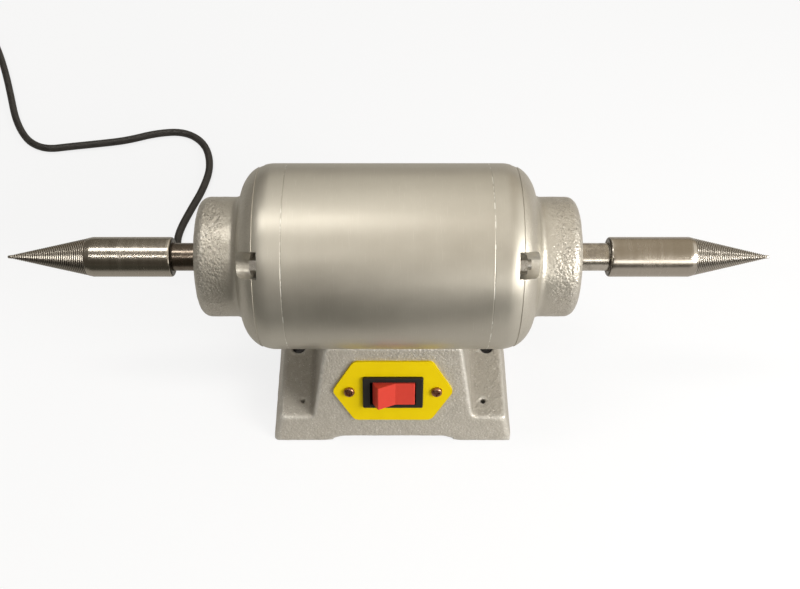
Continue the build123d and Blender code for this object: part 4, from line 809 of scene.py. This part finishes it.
def shield_profile():
    """Points (x, r) of the outline, first the outside from the seam to the shaft hole, then
    the inside back to the seam. Returns them with the number of outside points."""
    rim = level(BARREL_HALF, SHOULDER_X, BARREL_R)
    shoulder = arc(SHOULDER_X, SHOULDER_CENTRE_R, SHOULDER_R, math.pi / 2, math.pi / 2 - SHOULDER_TURN)
    neck = arc(NECK_X, NECK_CENTRE_R, NECK_R, 1.5 * math.pi - SHOULDER_TURN, 1.5 * math.pi)
    bell = level(NECK_X, BELL_EDGE_X, BELL_R)
    corner = arc(BELL_EDGE_X, BELL_FACE_R, BELL_EDGE_R, math.pi / 2, 0)
    face_r = np.append(steps(BELL_FACE_R, SHAFT_HOLE_R), SHAFT_HOLE_R)
    face = np.stack([0 * face_r + SHIELD_END, face_r], axis=1)
    outside = np.concatenate([rim, shoulder, neck, bell, corner, face])
    near_step = np.argmin(np.abs(outside[:, 0] - STEP_X) + 1e3 * (outside[:, 1] < SHOULDER_CENTRE_R))
    step_r = SHOULDER_CENTRE_R + math.sqrt(SHOULDER_R**2 - (STEP_X - SHOULDER_X) ** 2)
    step = [(STEP_X - 0.05, step_r), (STEP_X + 0.05, step_r)]
    outside = np.concatenate([outside[:near_step], step, outside[near_step + 1 :]])
    inside = [
        (91.3, SHAFT_HOLE_R), (91.3, 12.0), (89.3, 12.0),  # felt seat
        (89.3, 17.52), (77.7, 17.52), (77.7, 22.0),  # bearing seat
        (65.8, 24.0), (53.0, SPIGOT_R - 8.5),  # hollow shoulder
        (SPIGOT_X, SPIGOT_R - 3.4), (SPIGOT_X, SPIGOT_R), (BARREL_HALF, SPIGOT_R),  # spigot
    ]
    return np.concatenate([outside, inside, outside[:1]]), len(outside)


print(len(shield_profile()[0]), "points in an end shield's profile")

# %% Pockets of an end shield
POCKET_X, POCKET_R, POCKET_OUT, POCKET_LENGTH = 60.6, 6.3, 40.3, 20
POCKET_MOUTH = 20  # how far the open side of a pocket reaches out past its round floor
BOLT_CIRCLE_R, BOLT_HOLE_R = 38.5, 2.8
BOLT_HOLE_X, BOLT_HOLE_LENGTH = 44, 18


def pocket_distance(points):
    """How far points (x, y, z) in mm lie outside the nearest pocket's walls, below 0 inside it."""
    y, z = points[:, 1], points[:, 2] - AXIS_Z
    angle = (np.arctan2(z, y) % (math.pi / 2)) - math.pi / 4
    out, across = np.hypot(y, z) * np.cos(angle), np.hypot(y, z) * np.sin(angle)
    return np.where(out < POCKET_OUT, np.hypot(out - POCKET_OUT, across), np.abs(across)) - POCKET_R


def pocket_tools(direction):
    """Four pockets and four bolt holes, an eighth of a turn off the upright. A pocket's
    outline is a half circle that opens outwards."""
    half_turn = np.linspace(math.pi / 2, 1.5 * math.pi, 25)
    outline = np.stack([0 * half_turn, POCKET_R * np.cos(half_turn), POCKET_R * np.sin(half_turn)], axis=1)
    mouth = [(0, POCKET_MOUTH, -POCKET_R), (0, POCKET_MOUTH, POCKET_R)]
    outline = np.concatenate([outline, mouth]) + (0, POCKET_OUT, 0)
    pockets, holes = [], []
    for corner in range(4):
        angle = math.pi / 4 + corner * math.pi / 2
        cos, sin = math.cos(angle), math.sin(angle)
        turned = outline @ np.array([[1, 0, 0], [0, cos, sin], [0, -sin, cos]])
        pockets.append(prism(turned, (direction * POCKET_X, 0, AXIS_Z), (direction * POCKET_LENGTH, 0, 0)))
        bolt = (direction * BOLT_HOLE_X, BOLT_CIRCLE_R * cos, AXIS_Z + BOLT_CIRCLE_R * sin)
        holes.append(plug(bolt, (direction * BOLT_HOLE_LENGTH, 0, 0), BOLT_HOLE_R))
    return pockets, holes


# %% End castings
SHIELD_COLUMNS = 320
STEP_HEIGHT, STEP_GONE_X, STEP_FADE = 0.30, 72, 6  # the cast skin's extra height fades out
CAST_RELIEF, CALM_SHARE = 0.14, 0.35  # the waves' height, and their share on neck and shoulder
CALM_TO_X, CALM_FADE = 76, 5
# The dusty places here are dust and painted shade.
FEATHER = 0.8  # worn and dusty places fade out over this distance
SHARP_ANGLE = math.radians(40)


def near_arc(x, r, middle_x, middle_r, radius):
    """1 on an arc of the profile, falling to 0 at the feather's distance from it."""
    return np.clip(1 - np.abs(np.hypot(x - middle_x, r - middle_r) - radius) / FEATHER, 0, 1)


def shield_edges(points):
    """Pocket lips with a painted highlight, a worn corner on the bell, and dust and painted shade
    in the neck, from -1 to 1.
    """
    x, r = np.abs(points[:, 0]), np.hypot(points[:, 1], points[:, 2] - AXIS_Z)
    dust_and_shade = near_arc(x, r, NECK_X, NECK_CENTRE_R, NECK_R) * (r < NECK_CENTRE_R)
    rounded = near_arc(x, r, BELL_EDGE_X, BELL_FACE_R, BELL_EDGE_R)
    rounded *= (x > BELL_EDGE_X) & (r > BELL_FACE_R)
    # The pocket lips are marked 0.9 as a painted highlight.
    lip_highlight = (np.abs(pocket_distance(points)) < 0.15) & (x > POCKET_X + 0.5) & (x < 79) & (r > BELL_R)
    return np.where(lip_highlight, 0.9, 0.35 * rounded - 0.45 * dust_and_shade)


def end_casting(name, direction):
    """The profile (x, r) carried round the shaft: (x, r*cos a, AXIS_Z + r*sin a). The cast
    part also moves along the profile's normal, by the step's height and the waves."""
    profile, outside_count = shield_profile()
    along = np.gradient(profile, axis=0)
    normal = np.stack([-along[:, 1], along[:, 0]], axis=1)
    normal /= np.linalg.norm(normal, axis=1)[:, None]
    cast = (np.arange(len(profile)) < outside_count) & (profile[:, 0] > STEP_X)
    extra = np.where(cast, STEP_HEIGHT * np.clip((STEP_GONE_X - profile[:, 0]) / STEP_FADE, 0, 1), 0)
    profile = profile + normal * extra[:, None]
    turn = np.arange(SHIELD_COLUMNS) * 2 * math.pi / SHIELD_COLUMNS
    ring = np.stack([0 * turn, np.cos(turn), np.sin(turn)], axis=1)
    axis = np.array([direction, 0, 0])
    points = profile[:, None, :1] * axis + profile[:, None, 1:] * ring + (0, 0, AXIS_Z)
    outward = normal[:, None, :1] * axis + normal[:, None, 1:] * ring
    waves = cast_waves(points.reshape(-1, 3) * MM).reshape(points.shape[:2])
    bell_share = np.clip((profile[:, 0] - CALM_TO_X) / CALM_FADE, 0, 1)
    relief = CAST_RELIEF * cast * (CALM_SHARE + (1 - CALM_SHARE) * bell_share)
    piece = grid_surface(name, (points + outward * (waves * relief[:, None])[..., None]) * MM)
    drill(piece, *pocket_tools(direction))
    piece.data.set_sharp_from_angle(angle=SHARP_ANGLE)
    keep_numbers(piece.data, "edge", shield_edges(vectors(piece.data.vertices) / MM))
    return piece


for side_name, direction in (("left", -1), ("right", 1)):
    shield = end_casting(f"{side_name}_end_casting", direction)
    dress(shield_finish, shield.name)
    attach(shield, "base")
    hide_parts(f"end_shield_{side_name}")
    print(shield.name, len(shield.data.polygons), "faces")

# %% [markdown]
# ## Taper spindles
#
# A buff is wound onto the cone by the shaft's own turning, so the cone carries a fine spiral
# ridge, right-handed on one end and left-handed on the other. The surface is a profile turned
# round the shaft, and on the cone its radius also follows a zigzag in x/pitch + turn/360. A
# bump could draw the ridge, but the cone's outline shows its teeth, so it is in the mesh. The
# attribute groove is up to 1 on floors between ridges, darkened as dirt and painted shade, and
# down to -1 on crests with a painted highlight. The inner face is painted dark as shade.

# %% Spindles
SPINDLE_R, TIP_R, EDGE_R = 10.0, 0.6, 1.2
BORE_R, BORE_DEPTH, BORE_CHAMFER = 7.02, 26.0, 0.8
RIDGE_PITCH, RIDGE_DEPTH, RIDGE_ROUNDNESS = 1.0, 0.42, 1.6
CONE_SAMPLE = 0.125
SCREW_PLACE, SCREW_HOLE_R, SCREW_HOLE_FROM = 13.0, 2.02, 6.0
# The spindle's inner face is painted dark as shade.
FACE_SHADE = 0.95
SPINDLE_COLUMNS = 96


def cone_radius(x, cone_start, tip):
    """The cone's radius without ridges, which falls evenly from its start to its tip."""
    return SPINDLE_R - (x - cone_start) * (SPINDLE_R - TIP_R) / (tip - cone_start)


def spindle(name, direction, face, cone_start, tip, plain_cone, groove_dirt_and_shade, crest_highlight):
    """A profile (x, r) from the floor of the bore out over the face and along to the tip,
    carried round the shaft. On the cone, r is less by the ridge's depth times
    1 - |2*(phase mod 1) - 1|**roundness, where phase is x/pitch plus or minus turn/360."""
    bore_end = face + BORE_DEPTH
    bend = np.linspace(math.pi / 2, 0, 7)
    rim_x = face + EDGE_R * (1 - np.sin(bend))
    rim_r = SPINDLE_R - EDGE_R * (1 - np.cos(bend))
    straight = np.linspace(face + EDGE_R, cone_start, 24)[1:]
    cone = np.arange(cone_start + CONE_SAMPLE, tip - 0.1, CONE_SAMPLE)
    bore_x = [bore_end, bore_end, face + BORE_CHAMFER, face]
    bore_r = [0, BORE_R, BORE_R, BORE_R + BORE_CHAMFER]
    x = np.concatenate([bore_x, rim_x, straight, cone, [tip - 0.03, tip]])
    cone_r = cone_radius(cone, cone_start, tip)
    r = np.concatenate([bore_r, rim_r, 0 * straight + SPINDLE_R, cone_r, [TIP_R * 0.7, 0]])
    turn = np.arange(SPINDLE_COLUMNS) * 2 * math.pi / SPINDLE_COLUMNS
    x, r = x[:, None] + 0 * turn, r[:, None] + 0 * turn
    phase = (x - cone_start) / RIDGE_PITCH + direction * turn / (2 * math.pi)
    zigzag = np.abs(2 * (phase % 1) - 1)
    fade = np.clip((x - cone_start - plain_cone + 0.5) / 0.8, 0, 1) * np.clip((tip - 1.0 - x) / 1.5, 0, 1)
    r = r - RIDGE_DEPTH * (1 - zigzag**RIDGE_ROUNDNESS) * fade
    points = np.stack([direction * x, r * np.cos(turn), AXIS_Z + r * np.sin(turn)], axis=-1) * MM
    piece = grid_surface(name, points)
    screw_hole = (direction * (face + SCREW_PLACE), SCREW_HOLE_FROM, AXIS_Z)
    drill(piece, [plug(screw_hole, (0.0, 6.0, 0.0), SCREW_HOLE_R)])

    points = vectors(piece.data.vertices) / MM
    x, r = np.abs(points[:, 0]), np.hypot(points[:, 1], points[:, 2] - AXIS_Z)
    sunk = np.clip((cone_radius(x, cone_start, tip) - r) / RIDGE_DEPTH, 0, 1)
    depth = np.where((x > cone_start) & (x < tip - 1), sunk, 0)
    # Floors between ridges are darkened as dirt and painted shade, and crests get a painted highlight.
    on_ridges = (x > cone_start + plain_cone) & (x < tip - 1)
    crest = np.where(on_ridges & (depth < 0.5), crest_highlight * (1 - 2 * depth), 0)
    # Points on the inner face get painted shade.
    keep_numbers(piece.data, "groove", np.where(x < face + 0.45, FACE_SHADE, depth * groove_dirt_and_shade - crest))
    return piece


# The numbers are face, cone's start, tip, plain start of the cone, the dirt and painted shade
# of the grooves, and the painted highlight of the crests.
for side_name, direction, *facts in (
    ("left", -1, 108.0, 148.3, 191.7, 2.8, 1.0, 0.0),
    ("right", 1, 110.5, 151.3, 192.2, 2.2, 0.64, 1.0),
):
    made = spindle(f"{side_name}_taper_spindle", direction, *facts)
    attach(made, "rotor")
    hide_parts(f"spindle_{side_name}")
    print(made.name, len(made.data.polygons), "faces")

# %% Ground and turned steel
STEEL_DARK, STEEL_PALE, STEEL_SMEAR = (0.40, 0.372, 0.325), (0.54, 0.505, 0.45), (0.42, 0.36, 0.30)
GROOVE_DIRT_AND_SHADE, CREST_HIGHLIGHT = (0.035, 0.030, 0.024), (0.84, 0.81, 0.76)
LEFT_SHAFT_DARK, LEFT_SHAFT_PALE = (0.15, 0.125, 0.10), (0.25, 0.215, 0.18)
RIGHT_SHAFT_DARK, RIGHT_SHAFT_PALE = (0.50, 0.47, 0.42), (0.66, 0.63, 0.57)
BROWN_STAIN = (0.11, 0.075, 0.055)


def ground_steel_paint(net, place):
    """Ground steel, with old polish, dirt and painted shade in the grooves between the ridges,
    and a painted highlight on the crests.
    """
    groove = net.attribute("groove")
    marks = net.group(turned_marks, place, 3200.0, 0.01)
    touched = net.group(handling, place, 60.0, 0.35)
    base = net.mix(marks["Tone"], STEEL_DARK, STEEL_PALE)
    base = net.mix(net.times(touched["Smear"], 0.2), base, STEEL_SMEAR)
    # Grooves darken as dirt and painted shade, and crests take a painted highlight.
    base = net.mix(net.spread(groove, 0.25, 0.85, 0.0, 0.92), base, GROOVE_DIRT_AND_SHADE)
    base = net.mix(net.spread(groove, -0.05, -0.5), base, CREST_HIGHLIGHT)
    rough = net.spread(marks["Tone"], 0.25, 0.75, 0.16, 0.28)
    rough = net.maths("ADD", rough, net.times(touched["Smear"], 0.06))
    height = net.maths("ADD", marks["Height"], touched["Scratch"])
    return surface(base, rough, net.bump(height, 0.00002, 0.6))


def shaft_steel_paint(net, place):
    """Plain turned steel, darker and browner on the left than on the right."""
    marks = net.group(turned_marks, place, 2600.0, 0.01)
    stain = net.noise(place, 220.0, 4.0, 0.6)
    left_half_tone = net.mix(marks["Tone"], LEFT_SHAFT_DARK, LEFT_SHAFT_PALE)
    right_half_tone = net.mix(marks["Tone"], RIGHT_SHAFT_DARK, RIGHT_SHAFT_PALE)
    base = net.mix(net.spread(net.parts(place)["X"], -0.02, 0.02), left_half_tone, right_half_tone)
    base = net.mix(net.spread(stain, 0.45, 0.65, 0.0, 0.5), base, BROWN_STAIN)
    rough = net.spread(stain, 0.3, 0.7, 0.18, 0.34)
    return surface(base, rough, net.bump(marks["Height"], 0.00002, 0.6))


ground_steel = finish("ground_steel", ground_steel_paint, Metallic=1.0)
shaft_steel = finish("shaft_steel", shaft_steel_paint, Metallic=1.0)
dress(ground_steel, "left_taper_spindle", "right_taper_spindle")
dress(shaft_steel, "motor_shaft")
print(ground_steel.name, "and", shaft_steel.name)

# %% [markdown]
# ## Switch and other plastics
#
# The switch plate is a moulded yellow hexagon, the bezel is black with a fine spark texture,
# and the rocker is red and a little glossier. Moulded plastic is coloured all through, so its
# finish is one tint with faint clouds, the mould's fine grain, and the marks of fingers. Each
# could be a material built by hand, but they differ only in their numbers, so one recipe makes
# them all, with the capacitor's shell and the wire sleeves inside the base.

# %% Moulded plastics
GREY_SCUFF = (0.7, 0.7, 0.7)


def moulded(tint, shade, grain_scale, grain_depth, low, high, scuff):
    """A paint function for moulded plastic: cloudy tint, fine texture and finger marks."""

    def paint(net, place):
        touched = net.group(handling, place, 90.0, 0.4)
        texture = net.noise(place, grain_scale, 3.0, 0.6)
        base = net.mix(net.noise(place, 140.0, 3.0), tint, shade)
        base = net.mix(net.times(touched["Scratch"], scuff), base, GREY_SCUFF)
        rough = net.spread(touched["Smear"], 0.0, 1.0, low, high)
        return surface(base, rough, net.bump(texture, grain_depth, 0.5))

    return paint


# Each row: the name, the shine, two tints, the grain's scale and depth, the least and most
# roughness, how far scratches show, and the pieces that wear it.
for finish_name, shine, *recipe, wearers in (
    ("yellow_plate_plastic", 0.12, (0.86, 0.65, 0.002), (0.78, 0.57, 0.001),
     900, 0.00003, 0.38, 0.50, 0.04, ["switch_plate"]),
    ("red_rocker_plastic", 0.22, (0.70, 0.062, 0.040), (0.62, 0.050, 0.032),
     2400, 0.00002, 0.40, 0.50, 0.06, ["rocker"]),
    ("black_housing_plastic", 0.35, (0.012, 0.011, 0.009), (0.018, 0.016, 0.014),
     2600, 0.00004, 0.42, 0.55, 0.05, ["switch_housing", "plug_body", "coil_tie", "terminal_block"]),
    ("capacitor_shell", 0.5, (0.10, 0.11, 0.12), (0.15, 0.16, 0.17),
     1500, 0.00004, 0.30, 0.45, 0.12, ["capacitor"]),
    ("brown_wire_sleeve", 0.5, (0.16, 0.06, 0.03), (0.20, 0.08, 0.04),
     2000, 0.00003, 0.35, 0.50, 0.12, ["switch_wires"]),
    ("blue_wire_sleeve", 0.5, (0.02, 0.09, 0.34), (0.03, 0.12, 0.40),
     2000, 0.00003, 0.35, 0.50, 0.12, ["capacitor_wires"]),
    ("green_wire_sleeve", 0.5, (0.06, 0.32, 0.06), (0.10, 0.40, 0.06),
     2000, 0.00003, 0.35, 0.50, 0.12, ["earth_wire"]),
):
    dress(finish(finish_name, moulded(*recipe), Specular_IOR_Level=shine), *wearers)
    print(finish_name, "on", *wearers)

# %% [markdown]
# ## Screws and small metal
#
# The screws of the switch plate are plated copper brown, and the hidden ones are zinc. A thin
# plating keeps the metal's shine but dulls in patches and scratches through to a brighter
# line. The same recipe serves stamped brass, cast aluminium and polished bearing steel.

# %% Plated screws and small metal
BRIGHT_SCRATCH = (0.85, 0.84, 0.80)


def plated(tint, dark, low, high):
    """A paint function for plated or stamped metal, dulled in patches."""

    def paint(net, place):
        touched = net.group(handling, place, 400.0, 0.5)
        patch = net.noise(place, 1200.0, 4.0, 0.6)
        base = net.mix(touched["Smear"], tint, dark)
        base = net.mix(net.times(touched["Scratch"], 0.4), base, BRIGHT_SCRATCH)
        return surface(base, net.spread(patch, 0.3, 0.7, low, high), net.bump(patch, 0.00003, 0.5))

    return paint


both_sides = ("bearing_outer_ring_{}", "bearing_inner_ring_{}", "bearing_balls_{}")
for finish_name, tint, dark, low, high, wearers in (
    ("zinc_plating", (0.62, 0.61, 0.58), (0.40, 0.38, 0.35), 0.24, 0.42, [
        "cover_screws", "motor_bolts", "through_bolts", "through_bolt_nuts", "spindle_set_screws",
        "capacitor_strap_screws", "terminal_screws", "earth_screw", "bottom_cover", "capacitor_strap",
    ]),
    ("copper_brown_plating", (0.58, 0.30, 0.19), (0.22, 0.10, 0.06), 0.22, 0.38, ["switch_plate_screws"]),
    ("stamped_brass", (0.80, 0.60, 0.27), (0.52, 0.37, 0.15), 0.22, 0.36, [
        "bearing_ball_cage_left", "bearing_ball_cage_right", "switch_terminals", "plug_pins",
    ]),
    ("polished_bearing_steel", (0.74, 0.74, 0.74), (0.62, 0.62, 0.62), 0.08, 0.16, [
        "wave_washer", *(name.format(side) for side in ("left", "right") for name in both_sides),
    ]),
    ("die_cast_aluminium", (0.72, 0.72, 0.73), (0.52, 0.52, 0.53), 0.38, 0.58, ["rotor_cage"]),
):
    dress(finish(finish_name, plated(tint, dark, low, high), Metallic=1.0), *wearers)
    print(finish_name, "on", len(wearers), "nodes")

# %% [markdown]
# ## Inside the motor
#
# Nobody sees the inside until the motor is opened, but each piece there has its real finish
# too. The cores are stacks of thin sheets, the winding is enamelled wire, and the seals are
# felt. Sheets and strands repeat evenly, so a sine wave draws them better than a noise would.

# %% Cores, winding and felt
SHEET, WIRE = 0.5 * MM, 0.6 * MM
SHEET_DARK, SHEET_PALE, SHEET_GAP = (0.16, 0.155, 0.16), (0.30, 0.28, 0.26), (0.05, 0.045, 0.045)
WIRE_GAP_SHADE, WIRE_TINT = (0.10, 0.03, 0.012), (0.56, 0.22, 0.09)
FELT_DARK, FELT_PALE = (0.46, 0.43, 0.37), (0.72, 0.69, 0.61)


def laminated(net, place):
    """Sheets of half a millimetre: a sine along X gives the edge of every sheet."""
    along = net.parts(place)["X"]
    sheets = net.maths("SINE", net.times(along, 2 * math.pi / SHEET))
    sheets = net.spread(sheets, -1.0, 0.4)
    tint = net.noise(place, 300.0, 4.0)
    base = net.mix(sheets, SHEET_GAP, net.mix(tint, SHEET_DARK, SHEET_PALE))
    return surface(base, net.spread(tint, 0.3, 0.7, 0.35, 0.55), net.bump(sheets, 0.00004))


def wound(net, place):
    """Enamelled wire laid round the motor: bands in radius plus X, bent by noise. The radius
    is the root of y*y + z*z, with z measured from the shaft's line."""
    parts = net.parts(place)
    rise = net.maths("SUBTRACT", parts["Z"], AXIS_Z * MM)
    squares = [net.maths("POWER", value, 2.0) for value in (parts["Y"], rise)]
    out = net.maths("SQRT", net.maths("ADD", *squares))
    wobble = net.times(net.noise(place, 120.0, 2.0), 0.004)
    line = net.maths("ADD", net.maths("ADD", out, parts["X"]), wobble)
    strand = net.maths("ABSOLUTE", net.maths("SINE", net.times(line, math.pi / WIRE)))
    # The troughs between strands are painted dark as shade.
    base = net.mix(strand, WIRE_GAP_SHADE, WIRE_TINT)
    return surface(base, net.spread(strand, 0.0, 1.0, 0.5, 0.24), net.bump(strand, 0.0003))


def felted(net, place):
    fibre = net.noise(place, 3000.0, 6.0, 0.75)
    base = net.mix(fibre, FELT_DARK, FELT_PALE)
    return surface(base, net.spread(fibre, 0.2, 0.8, 0.98, 0.88), net.bump(fibre, 0.0003))


dress(finish("stacked_laminations", laminated, Metallic=0.8), "stator_core", "rotor_core")
dress(finish("enamelled_winding", wound, Metallic=0.5), "stator_winding")
dress(finish("pressed_felt", felted, Sheen_Weight=0.4), "felt_ring_left", "felt_ring_right")
print("dressed the cores, the winding and the felt rings")

# %% [markdown]
# ## Rubber and the strain relief
#
# The cord's rubber is black with a faint bloom. Where it leaves the base it passes through a
# moulded sleeve that tapers and is ringed with grooves, so that it bends evenly. The sleeve is
# a profile turned round the line of the exit, which slopes up and back from the rear wall.

# %% Rubber
RUBBER_BLACK, RUBBER_BLOOM = (0.018, 0.016, 0.014), (0.045, 0.040, 0.036)


def rubbery(net, place):
    bloom = net.noise(place, 160.0, 5.0, 0.65)
    skin = net.noise(place, 2600.0, 3.0, 0.6)
    base = net.mix(net.spread(bloom, 0.35, 0.75), RUBBER_BLACK, RUBBER_BLOOM)
    return surface(base, net.spread(bloom, 0.3, 0.7, 0.42, 0.6), net.bump(skin, 0.00004, 0.5))


rubber = finish("black_rubber", rubbery, IOR=1.5)
dress(rubber, "power_cord_rubber", "inner_cord", "lead_grommet", "motor_lead")
print(rubber.name)

# %% Strain relief
WALL_LEAN = math.radians(22)
RELIEF_WALL = np.array([-20.0, 56.0 - 20.0 * math.tan(WALL_LEAN), 20.0])
RELIEF_OUT = np.array([0.0, math.cos(WALL_LEAN), math.sin(WALL_LEAN)])
RELIEF_ACROSS = np.array([1.0, 0.0, 0.0])
RELIEF_UP = np.cross(RELIEF_OUT, RELIEF_ACROSS)
RELIEF_LENGTH, FLANGE_TOP = 26.0, 2.5
ROOT_R, END_R = 4.6, 3.3
RINGS_FROM, RINGS_TO, RING_PITCH, RING_DEPTH = 4.5, 22.5, 3.0, 0.45

# The profile goes in through the wall, over the flange, and down the ringed taper. A groove
# stands where the cosine along the sleeve is low, and a running mean of 5 rounds its corners.
ringed = np.linspace(RINGS_FROM, RINGS_TO, 91)
taper = ROOT_R + (END_R - ROOT_R) * (ringed - FLANGE_TOP) / (RELIEF_LENGTH - FLANGE_TOP)
groove = RING_DEPTH * (np.cos((ringed - RINGS_FROM) * 2 * math.pi / RING_PITCH) < -0.1)
groove = np.convolve(np.pad(groove, 2, mode="edge"), np.ones(5) / 5, mode="valid")
along = np.concatenate([[-5.1, -5.1, 0, 0, 0.4, 2.1, 2.5, 2.5, 3.0], ringed, [25.3, 25.8, 26.0, 26.0]])
across = np.concatenate([[0, 5.0, 5.0, 6.6, 7.0, 7.0, 6.6, 4.9, 4.62], taper - groove, [3.32, 3.2, 2.9, 0]])
turn = np.arange(64) * 2 * math.pi / 64
relief_points = (
    RELIEF_WALL
    + along[:, None, None] * RELIEF_OUT
    + (across[:, None] * np.cos(turn))[..., None] * RELIEF_ACROSS
    + (across[:, None] * np.sin(turn))[..., None] * RELIEF_UP
)
relief = grid_surface("moulded_strain_relief", relief_points * MM)
dress(rubber, "moulded_strain_relief")
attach(relief, "base")
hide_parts("strain_relief")
print("relief ends at", (RELIEF_WALL + RELIEF_LENGTH * RELIEF_OUT).round(2))
